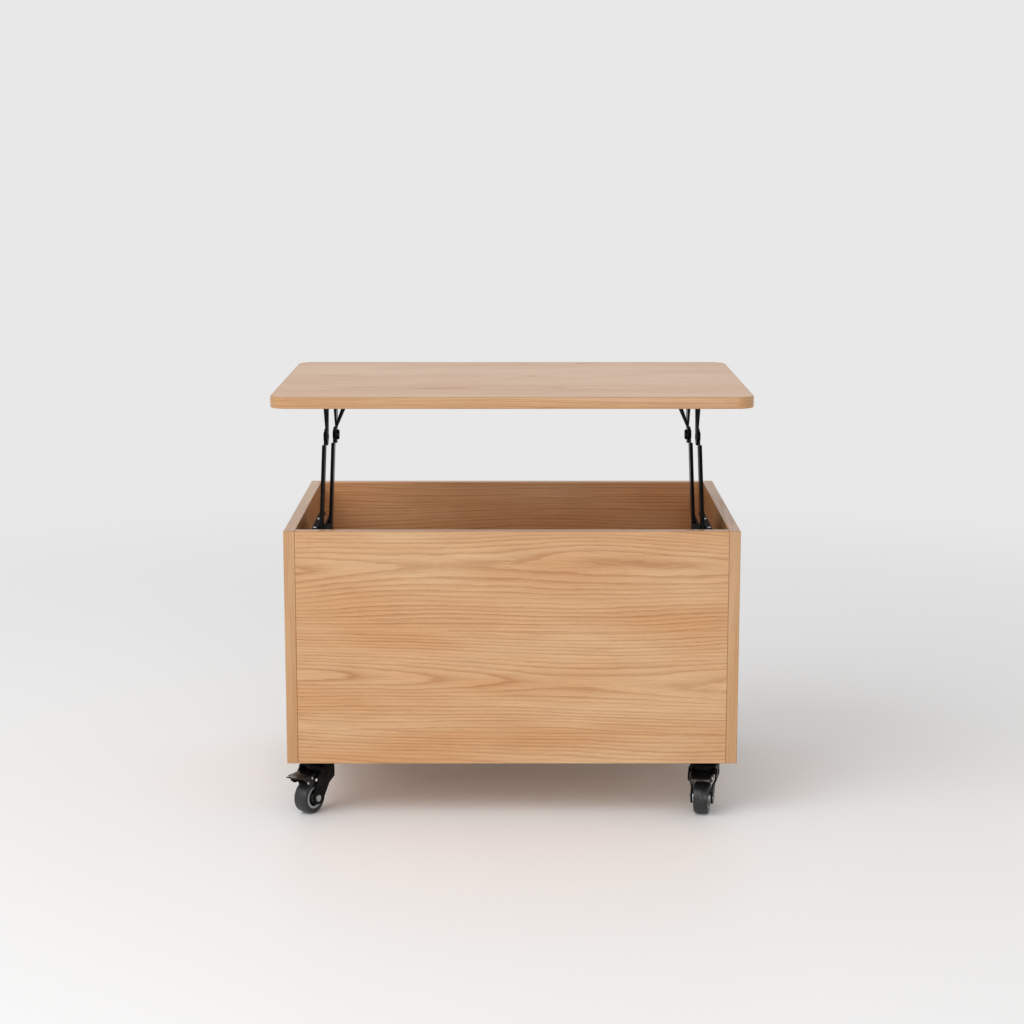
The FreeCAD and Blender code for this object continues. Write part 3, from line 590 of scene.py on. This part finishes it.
def pedalMesh(name, kingpin, ahead, axis):
    mesh = bmesh.new()
    shares = [2 * step / pedal["across"] - 1 for step in range(pedal["across"] + 1)]

    def at(reach, sideways, height):
        place = ahead * reach + axis * sideways + Vector((0, 0, height))
        return mesh.verts.new(Vector((kingpin.x, kingpin.y, 0)) + place * mm)

    def joined(first, second):
        # faces between two rings of points
        for j in range(len(first)):
            k = (j + 1) % len(first)
            mesh.faces.new((first[j], first[k], second[k], second[j]))

    # top plate, cambered across
    upper, lower = [
        [[at(reach, share * half, pedal["topHeight"] + rise - pedal["camber"] * share ** 2 + layer)
          for share in shares] for reach, half, rise in pedal["topRuns"]]
        for layer in (0.0, -pedal["topThick"])]
    last, end = len(upper) - 1, pedal["across"]
    for i in range(last):
        for j in range(end):
            mesh.faces.new((upper[i][j], upper[i][j + 1], upper[i + 1][j + 1], upper[i + 1][j]))
            mesh.faces.new((lower[i][j], lower[i + 1][j], lower[i + 1][j + 1], lower[i][j + 1]))
        for j in (0, end):
            mesh.faces.new((upper[i][j], upper[i + 1][j], lower[i + 1][j], lower[i][j]))
    for i in (0, last):
        for j in range(end):
            mesh.faces.new((upper[i][j], upper[i][j + 1], lower[i][j + 1], lower[i][j]))
    # cheeks
    outline = rounded([(Vector((reach, height)), radius) for reach, height, radius in pedal["cheekLine"]])
    for sign in (-1, 1):
        outer, inner = [[at(reach, sign * half, height) for reach, height in outline]
                        for half in (pedal["cheekHalf"], pedal["cheekHalf"] - pedal["cheekThick"])]
        mesh.faces.new(outer)
        mesh.faces.new(inner)
        joined(outer, inner)
    # lip under the front of the plate
    rows = [[at(pedal["lipFront"] - back - pedal["lipBow"] * share ** 2, share * pedal["lipHalf"],
                pedal["topHeight"] - down) for share in shares] for back, down in pedal["lip"]]
    for a, b in zip(rows, rows[1:] + rows[:1]):
        for j in range(end):
            mesh.faces.new((a[j], a[j + 1], b[j + 1], b[j]))
    for j in (0, end):
        mesh.faces.new([row[j] for row in rows])
    # boss round the rivet, and the shoe that presses on the tyre
    reach, height = pedal["pivot"]
    turns = [2 * math.pi * step / pedal["bossTurns"] for step in range(pedal["bossTurns"])]
    left, right = [[at(reach + pedal["bossRadius"] * math.cos(turn), sideways,
                       height + pedal["bossRadius"] * math.sin(turn)) for turn in turns]
                   for sideways in (-pedal["bossHalf"], pedal["bossHalf"])]
    joined(left, right)
    mesh.faces.new(left)
    mesh.faces.new(right)
    (rear, front), half = pedal["shoeReach"], pedal["shoeHalf"]
    foot, crown = [[at(reach, sideways, height) for reach, sideways in
                    ((rear, -half), (front, -half), (front, half), (rear, half))]
                   for height in pedal["shoeHeight"]]
    mesh.faces.new(foot)
    mesh.faces.new(crown)
    joined(foot, crown)
    return brokenEdges(mesh, name, pedal["edge"], pedal["edgeFrom"])


def casterFrame(caster):
    # its kingpin, the level direction from there towards its wheel, and the wheel's axis
    axis = Vector(joints[caster + "_roll"]["axis"])
    return Vector(joints[caster + "_swivel"]["pos_m"]), Vector((axis.y, -axis.x, 0)), axis


for caster in casters[:2]:
    name = caster + "_pedal_plate"
    placePiece(name, pedalMesh(name, *casterFrame(caster)), materials["pedalSteel"], caster + "_pedal",
               "black_steel", caster + "_brake_pedal")
print("brake pedals made")

# linkage pins, turned and riveted over: each step has its start and end away from the side board, its radius
# and the rounding of its start and end edges, in millimetres
pinSteps = {
    "front_base_pin": ((0.1, 28.55, 8.0, 0, 0.5), (28.55, 30.65, 4.0, 0, 0), (30.65, 32.2, 7.0, 0.3, 0.3),
                       (32.2, 35.9, 4.0, 0, 1.4)),
    "rear_base_pin": ((31.0, 34.7, 4.0, 0.6, 0), (34.7, 37.45, 7.0, 0.3, 0.3), (37.45, 39.55, 4.0, 0, 0),
                      (39.55, 42.9, 6.8, 0, 4.2)),
    "front_top_pin": ((27.35, 28.55, 6.8, 1.0, 0), (28.55, 30.65, 4.0, 0, 0), (30.65, 31.2, 7.0, 0.1, 0.1),
                      (31.2, 34.4, 4.0, 0, 1.2)),
    "rear_top_pin": ((36.25, 37.45, 6.8, 1.0, 0), (37.45, 42.2, 4.0, 0, 0), (42.2, 45.6, 6.8, 0, 4.2)),
}
frontBase = Vector(joints["lift"]["pos_m"])
rearBase = Vector(joints["left_rear_lift"]["pos_m"])
frontTop = Vector(joints["top_level"]["pos_m"])
pinPlaces = {"front_base_pin": frontBase, "rear_base_pin": rearBase, "front_top_pin": frontTop,
             "rear_top_pin": frontTop + rearBase - frontBase}
pinTurns, pinRoundSteps = 40, 6
sides = {"left": -1, "right": 1}


def pinLine(steps):
    corners = [(Vector((steps[0][0], 0)), 0)]
    for start, end, radius, roundStart, roundEnd in steps:
        corners += [(Vector((start, radius)), roundStart), (Vector((end, radius)), roundEnd)]
    corners.append((Vector((steps[-1][1], 0)), 0))
    return [tuple(point * mm) for point in rounded(corners, pinRoundSteps)]


for side, sign in sides.items():
    for pin, steps in pinSteps.items():
        node = side + "_" + pin
        place = (sign * wall, pinPlaces[pin].y, pinPlaces[pin].z)
        shape = lathe(node + "_turned", pinLine(steps), place, (-sign, 0, 0), pinTurns)
        placePiece(node + "_turned", shape, materials["blackPin"], bodyOf[node], "black_pin_steel", node)
print("pins made")


def nodeTree(name, inputs):
    # empty Geometry Nodes tree with named inputs, each a kind of socket and its value
    tree = bpy.data.node_groups.new(name, "GeometryNodeTree")
    tree.interface.new_socket("Geometry", in_out="INPUT", socket_type="NodeSocketGeometry")
    for label, (kind, value) in inputs.items():
        socket = tree.interface.new_socket(label, in_out="INPUT", socket_type="NodeSocket" + kind)
        if value is not None:
            socket.default_value = value
    tree.interface.new_socket("Geometry", in_out="OUTPUT", socket_type="NodeSocketGeometry")
    return tree, add(tree, "NodeGroupInput")


def endTree(tree, geometry, material):
    realized = add(tree, "GeometryNodeRealizeInstances", {"Geometry": geometry})[0]
    finished = add(tree, "GeometryNodeSetMaterial", {"Geometry": realized, "Material": material})[0]
    add(tree, "NodeGroupOutput", {"Geometry": finished})


def grown(name, seed, tree, values):
    # plain mesh that the tree makes from a seed mesh
    settings = {"node_group": tree}
    for item in tree.interface.items_tree:
        if item.in_out == "INPUT" and item.name in values:
            settings[item.identifier] = values[item.name]
    return applied(name, seed, ("NODES", settings))


# torsion springs: round wire coiled about the front base pins, with a foot in the bracket and a leg on the
# arm
spring = {
    "wireRadius": 1.2 * mm,
    "coilRadius": 12.4 * mm,
    "firstCoil": 4.6 * mm,
    "pitch": 2.9 * mm,
    "turns": 4,
    "raisedAngle": 60,
    "foot": 16 * mm,
    "leg": 34 * mm,
    "legEnd": 28.5 * mm,
    "sides": 12,
    "footStart": 0.3 * mm,
    "bend": 3.0 * mm,
    "stepAngle": 12,
}
wireTree, given = nodeTree("wireAlongLine", {
    "Wire Radius": ("Float", spring["wireRadius"]), "Sides": ("Int", spring["sides"]),
    "Material": ("Material", None)})
wireLine = add(wireTree, "GeometryNodeMeshToCurve", {"Mesh": given["Geometry"]})[0]
wireRound = add(wireTree, "GeometryNodeCurvePrimitiveCircle", {"Resolution": given["Sides"],
                                                               "Radius": given["Wire Radius"]})[0]
wireBody = add(wireTree, "GeometryNodeCurveToMesh", {"Curve": wireLine, "Profile Curve": wireRound,
                                                     "Fill Caps": True})[0]
wireBody = add(wireTree, "GeometryNodeSetShadeSmooth", {"Geometry": wireBody})[0]
endTree(wireTree, wireBody, given["Material"])


def springLine(sign):
    def at(offset, y, z):
        return Vector((sign * (wall - offset), frontBase.y + y, frontBase.z + z))

    radius, sweep = spring["coilRadius"], 360 * spring["turns"] + spring["raisedAngle"]
    corners = [(at(spring["footStart"], -spring["foot"], -radius), 0),
               (at(spring["firstCoil"], -spring["foot"], -radius), spring["bend"])]
    for angle in range(0, sweep + 1, spring["stepAngle"]):
        turn = math.radians(angle - 90)
        offset = spring["firstCoil"] + spring["pitch"] * angle / 360
        corners.append((at(offset, radius * math.cos(turn), radius * math.sin(turn)), 0))
    lift = math.radians(spring["raisedAngle"])
    legY = spring["leg"] * math.cos(lift) + radius * math.sin(lift)
    legZ = spring["leg"] * math.sin(lift) - radius * math.cos(lift)
    corners.append((at(offset, legY, legZ), spring["bend"]))
    corners.append((at(spring["legEnd"], legY, legZ), 0))
    return rounded(corners)


for side, sign in sides.items():
    name = side + "_lift_spring_wire"
    points = springLine(sign)
    seed = bpy.data.meshes.new(name + "_line")
    seed.from_pydata(points, [(i, i + 1) for i in range(len(points) - 1)], [])
    wire = grown(name, seed, wireTree, {"Material": materials["springWire"]})
    piece = placePiece(name, wire, None, None, "spring_steel", side + "_lift_spring")
    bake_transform(piece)
print("springs made")

# screws and rivets: a domed head, with a cross recess where it is a screw. Sizes are shares of the head's
# radius, and fullness is the power that shapes the dome: the lower it is, the flatter the crown
fastener = {
    "screw": {"Head Height": 0.62, "Fullness": 0.5, "Sunk": 0.1, "Cross Recess": True, "Recess Length": 1.15,
              "Recess Width": 0.3, "Recess Depth": 0.4},
    "rivet": {"Head Height": 0.55, "Fullness": 0.8, "Sunk": 0.1, "Cross Recess": False},
    "segments": 24,
    "rings": 14,
    "underside": -0.001,  # what lies below this is sunk into the part
    "seed": 4,
    "mostTurn": 3.1,  # a cross recess is driven to any angle
    "sharpFrom": 35,
}
headTree, given = nodeTree("fastenerHeads", {
    **{label: ("Bool" if value is True else "Float", value) for label, value in fastener["screw"].items()},
    "Seed": ("Int", fastener["seed"]), "Material": ("Material", None)})
ball = add(headTree, "GeometryNodeMeshUVSphere", {"Segments": fastener["segments"],
                                                  "Rings": fastener["rings"], "Radius": 1.0})[0]
spot = add(headTree, "ShaderNodeSeparateXYZ", {0: add(headTree, "GeometryNodeInputPosition")[0]})
upper = add(headTree, "ShaderNodeMath", {0: spot[2], 1: 0.0}, operation="MAXIMUM")[0]
full = add(headTree, "ShaderNodeMath", {0: upper, 1: given["Fullness"]}, operation="POWER")[0]
domed = add(headTree, "ShaderNodeMath", {0: full, 1: given["Head Height"]}, operation="MULTIPLY")[0]
under = add(headTree, "ShaderNodeMath", {0: spot[2], 1: fastener["underside"]}, operation="LESS_THAN")[0]
drop = add(headTree, "ShaderNodeMath", {0: under, 1: given["Sunk"]}, operation="MULTIPLY")[0]
level = add(headTree, "ShaderNodeMath", {0: domed, 1: drop}, operation="SUBTRACT")[0]
moved = add(headTree, "ShaderNodeCombineXYZ", {0: spot[0], 1: spot[1], 2: level})[0]
head = add(headTree, "GeometryNodeSetPosition", {"Geometry": ball, "Position": moved})[0]
deep = add(headTree, "ShaderNodeMath", {0: given["Recess Depth"], 1: 2.0}, operation="MULTIPLY")[0]
lifted = add(headTree, "ShaderNodeCombineXYZ", {0: 0.0, 1: 0.0, 2: given["Head Height"]})[0]
slots = []
for first, second in (("Recess Length", "Recess Width"), ("Recess Width", "Recess Length")):
    size = add(headTree, "ShaderNodeCombineXYZ", {0: given[first], 1: given[second], 2: deep})[0]
    bar = add(headTree, "GeometryNodeMeshCube", {"Size": size})[0]
    slots.append(add(headTree, "GeometryNodeTransform", {"Geometry": bar, "Translation": lifted})[0])
bothSlots = add(headTree, "GeometryNodeMeshBoolean", operation="UNION")
for bar in slots:
    headTree.links.new(bar, bothSlots[0].node.inputs["Mesh 2"])
cut = add(headTree, "GeometryNodeMeshBoolean", {"Mesh 1": head, "Mesh 2": bothSlots[0]},
          operation="DIFFERENCE")[0]
head = add(headTree, "GeometryNodeSwitch", {"Switch": given["Cross Recess"], "False": head, "True": cut},
           input_type="GEOMETRY")[0]
facing = add(headTree, "GeometryNodeInputNamedAttribute", {"Name": "facing"}, data_type="FLOAT_VECTOR")[0]
size = add(headTree, "GeometryNodeInputNamedAttribute", {"Name": "size"}, data_type="FLOAT")[0]
upright = add(headTree, "FunctionNodeAlignRotationToVector", {"Vector": facing}, axis="Z")[0]
turned = add(headTree, "FunctionNodeRandomValue", {"Min": 0.0, "Max": fastener["mostTurn"],
                                                   "Seed": given["Seed"]}, data_type="FLOAT")["Value"]
spin = add(headTree, "FunctionNodeAxisAngleToRotation", {"Axis": (0.0, 0.0, 1.0), "Angle": turned})[0]
spun = add(headTree, "FunctionNodeRotateRotation", {"Rotation": upright, "Rotate By": spin},
           rotation_space="LOCAL")[0]
heads = add(headTree, "GeometryNodeInstanceOnPoints", {"Points": given["Geometry"], "Instance": head,
                                                       "Rotation": spun, "Scale": size})[0]
endTree(headTree, heads, given["Material"])


def fasteners(name, kind, places, body):
    # places are (point, direction it faces, head radius)
    seed = bpy.data.meshes.new(name + "_places")
    seed.from_pydata([place for place, _, _ in places], [], [])
    seed.attributes.new("facing", "FLOAT_VECTOR", "POINT")
    seed.attributes.new("size", "FLOAT", "POINT")
    for i, (_, facing, radius) in enumerate(places):
        seed.attributes["facing"].data[i].vector = facing
        seed.attributes["size"].data[i].value = radius
    made = grown(name, seed, headTree, {**fastener[kind], "Material": materials["zincSteel"]})
    for polygon in made.polygons:
        polygon.use_smooth = True
    made.set_sharp_from_angle(angle=math.radians(fastener["sharpFrom"]))
    placePiece(name, made, None, body, "zinc_steel")


# where they are driven: behind is from the cabinet's front face, below from its rim, offset from the side
# board's inner face and ahead from the kingpin
bracketScrews = {"behind": (114 * mm, 154 * mm, 194 * mm), "below": 78 * mm, "offset": 2.5 * mm,
                 "head": 4.2 * mm}
shelfRivets = {"behind": (60 * mm, 126 * mm), "below": 6.0 * mm, "offset": 21.6 * mm, "head": 2.6 * mm}
plateScrews = {"reach": 15.2 * mm, "plate": 2.5 * mm, "head": 2.9 * mm}
# offset and distance from the saddle's front and rear ends
saddleScrews = {"places": ((51 * mm, 14 * mm), (36.7 * mm, 8 * mm)), "plate": 2.5 * mm, "head": 3.0 * mm}
# ahead and height
pedalRivets = {"places": ((21 * mm, 50.5 * mm), (33 * mm, 52.5 * mm), (41.5 * mm, 47.5 * mm)),
               "half": 14.5 * mm, "head": 1.9 * mm}

rivetPlaces, bracketPlaces, saddlePlaces = [], [], []
for side, sign in sides.items():
    for kind, places, facing in ((bracketScrews, bracketPlaces, (-sign, 0, 0)),
                                 (shelfRivets, rivetPlaces, (0, 0, 1))):
        for behind in kind["behind"]:
            place = (sign * (wall - kind["offset"]), cabinetFront + behind, rim - kind["below"])
            places.append((place, facing, kind["head"]))
    low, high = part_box(side + "_top_bracket")
    for offset, inwards in saddleScrews["places"]:
        for y in (low.y + inwards, high.y - inwards):
            place = (sign * (wall - offset), y, high.z - saddleScrews["plate"])
            saddlePlaces.append((place, (0, 0, -1), saddleScrews["head"]))
for caster in casters:
    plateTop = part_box(caster + "_caster_plate")[1].z
    kingpin = casterFrame(caster)[0]
    for signX in (-1, 1):
        for signY in (-1, 1):
            place = (kingpin.x + signX * plateScrews["reach"], kingpin.y + signY * plateScrews["reach"],
                     plateTop - plateScrews["plate"])
            bracketPlaces.append((place, (0, 0, -1), plateScrews["head"]))
fasteners("bracket_screws", "screw", bracketPlaces, "cabinet")
fasteners("bracket_rivets", "rivet", rivetPlaces, "cabinet")
fasteners("saddle_screws", "screw", saddlePlaces, "top")
for caster in casters[:2]:
    kingpin, ahead, axis = casterFrame(caster)
    places = []
    for reach, height in pedalRivets["places"]:
        for sign in (-1, 1):
            spot = kingpin + ahead * reach + axis * (sign * pedalRivets["half"])
            places.append(((spot.x, spot.y, height), axis * sign, pedalRivets["head"]))
    fasteners(caster + "_pedal_rivets", "rivet", places, caster + "_pedal")
print("screws and rivets made")

# the lifting top: a veneered board inside a thicker solid oak band that is rounded over at both arrises
topLow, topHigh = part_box("table_top")
top = {
    "cornerRadius": 22 * mm,
    "bandThickness": 2.0 * mm,
    "roundOver": 1.6 * mm,
    "glueLine": 0.12 * mm,
    "cornerSteps": 14,
    "roundSteps": 4,
    # the board's gain is painted sheen: it lightens and pales the top in place of the reflection its lacquer
    # gives at a low angle
    "board": {**levelGrain, "leafCentre": -10 * mm, "cut": 21.7, "paintedLightGain": (1.06, 1.08, 1.08)},
    "band": {**levelGrain, "leafCentre": 0.0, "cut": 27.4, "fromMap": True},
}


def topOutline(inset):
    # points round the top's outline, at an inset from its edge
    radius = top["cornerRadius"]
    points = []
    for corner, (signX, signY) in enumerate(((1, -1), (1, 1), (-1, 1), (-1, -1))):
        centreX = (topLow.x + topHigh.x) / 2 + signX * ((topHigh.x - topLow.x) / 2 - radius)
        centreY = (topLow.y + topHigh.y) / 2 + signY * ((topHigh.y - topLow.y) / 2 - radius)
        for step in range(top["cornerSteps"] + 1):
            angle = math.radians(-90 + 90 * corner + 90 * step / top["cornerSteps"])
            reach = radius - inset
            points.append((centreX + reach * math.cos(angle), centreY + reach * math.sin(angle)))
    return points


def runsAlong(points):
    runs = [0.0]
    for a, b in zip(points, points[1:] + points[:1]):
        runs.append(runs[-1] + math.hypot(b[0] - a[0], b[1] - a[1]))
    return runs


def sweptTop(name, section, solid):
    # section of (inset, height) swept round the top's outline: a solid board with flat faces, or a smooth
    # closed band whose UV are the runs along it and round its section
    mesh = bmesh.new()
    layer = None if solid else mesh.loops.layers.uv.new("run")
    along, around = runsAlong(topOutline(0.0)), runsAlong(section)
    rows = [[mesh.verts.new((x, y, height)) for x, y in topOutline(inset)] for inset, height in section]
    count = len(rows[0])
    for i, (row, following) in enumerate(zip(rows, rows[1:] if solid else rows[1:] + rows[:1])):
        for j in range(count):
            k = (j + 1) % count
            face = mesh.faces.new((row[j], row[k], following[k], following[j]))
            if not solid:
                marks = ((along[j], around[i]), (along[j + 1], around[i]), (along[j + 1], around[i + 1]),
                         (along[j], around[i + 1]))
                for corner, mark in zip(face.loops, marks):
                    corner[layer].uv = mark
                face.smooth = True
    if solid:
        mesh.faces.new(rows[0][::-1])
        mesh.faces.new(rows[-1])
    return ended(mesh, name)


inner, chamfer = top["bandThickness"], top["glueLine"]
boardSection = [(inner + chamfer, topLow.z), (inner, topLow.z + chamfer), (inner, topHigh.z - chamfer),
                (inner + chamfer, topHigh.z)]
turns = [math.radians(90 * step / top["roundSteps"]) for step in range(top["roundSteps"] + 1)]
arris = [(top["roundOver"] * (1 - math.sin(turn)), top["roundOver"] * (1 - math.cos(turn))) for turn in turns]
bandSection = [(inner, topLow.z), *((inset, topLow.z + rise) for inset, rise in arris),
               *((inset, topHigh.z - rise) for inset, rise in reversed(arris)), (inner, topHigh.z)]
placePiece("top_board", sweptTop("top_board", boardSection, True),
           oakVeneer("oakVeneer_table_top", **top["board"]), "top", "oak_veneer", "table_top")
placePiece("top_edge_band", sweptTop("top_edge_band", bandSection, False),
           oakVeneer("solidOakBand", **top["band"]), "top", "oak_veneer")
print("top made")

# studio: pale floor that keeps the shadow near the table and melts into the same pale grey further out
studio = {
    "backdrop": "#E8E8E8",
    "floor": "#F7F7F7",
    "floorRoughness": 0.55,
    "floorSize": 14.0,
    "meltStart": 1.0,
    "meltEnd": 2.6,
    "worldLight": 0.62,
    "keyPlace": (-2.6, -2.4, 3.1),
    "keySize": 3.6,
    "keyPower": 97.0,
    "fillPlace": (0.6, -4.2, 1.25),
    "fillSize": 1.4,
    "fillPower": 30.0,
    "aim": (0.0, 0.0, 0.35),
}


def seenRays(tree):
    # 1 for what the camera sees, straight, mirrored or through glass
    rays = add(tree, "ShaderNodeLightPath")
    seen = rays["Is Camera Ray"]
    for kind in ("Is Glossy Ray", "Is Transmission Ray"):
        seen = add(tree, "ShaderNodeMath", {0: seen, 1: rays[kind]}, operation="MAXIMUM")[0]
    return seen


floorMesh = bpy.data.meshes.new("floor")
half = studio["floorSize"] / 2
corners = [(-half, -half, 0), (half, -half, 0), (half, half, 0), (-half, half, 0)]
floorMesh.from_pydata(corners, [], [(0, 1, 2, 3)])
floor = inScene("floor", floorMesh)
floorMaterial, tree = newMaterial("paintedStudioFloor")
place = add(tree, "ShaderNodeTexCoord")
away = add(tree, "ShaderNodeVectorMath", {0: place["Object"]}, operation="LENGTH")["Value"]
melt = add(tree, "ShaderNodeMapRange", {0: away, 1: studio["meltStart"], 2: studio["meltEnd"]},
           interpolation_type="SMOOTHSTEP")[0]
melt = add(tree, "ShaderNodeMath", {0: melt, 1: seenRays(tree)}, operation="MULTIPLY")[0]
matte = add(tree, "ShaderNodeBsdfPrincipled", {"Base Color": linear(studio["floor"]),
                                               "Roughness": studio["floorRoughness"]})[0]
glow = add(tree, "ShaderNodeEmission", {"Color": linear(studio["backdrop"]), "Strength": 1.0})[0]
mixed = add(tree, "ShaderNodeMixShader", {0: melt, 1: matte, 2: glow})[0]
add(tree, "ShaderNodeOutputMaterial", {"Surface": mixed})
floorMesh.materials.append(floorMaterial)

world = bpy.data.worlds.new("studio")
bpy.context.scene.world = world
world.use_nodes = True
tree = world.node_tree
tree.nodes.clear()
lamp = add(tree, "ShaderNodeBackground", {"Color": (1.0, 1.0, 1.0, 1.0), "Strength": studio["worldLight"]})[0]
shown = add(tree, "ShaderNodeBackground", {"Color": linear(studio["backdrop"]), "Strength": 1.0})[0]
mixed = add(tree, "ShaderNodeMixShader", {0: seenRays(tree), 1: lamp, 2: shown})[0]
add(tree, "ShaderNodeOutputWorld", {"Surface": mixed})

for lampName in ("key", "fill"):
    lampData = bpy.data.lights.new(lampName, "AREA")
    lampData.shape = "SQUARE"
    lampData.size = studio[lampName + "Size"]
    lampData.energy = studio[lampName + "Power"]
    softbox = inScene(lampName, lampData)
    softbox.location = studio[lampName + "Place"]
    aim = Vector(studio["aim"]) - softbox.location
    softbox.rotation_euler = aim.to_track_quat("-Z", "Y").to_euler()

view = {"place": (0.0, -2.98576, 0.909423), "pitchDown": 9.9338, "lens": 77.107, "sensor": 36.0}
cameraData = bpy.data.cameras.new("camera")
cameraData.lens = view["lens"]
cameraData.sensor_width = view["sensor"]
camera = inScene("camera", cameraData)
camera.location = view["place"]
camera.rotation_euler = (math.radians(90 - view["pitchDown"]), 0.0, 0.0)
bpy.context.scene.camera = camera
bpy.context.scene.view_settings.view_transform = "Standard"

print("scene ready")
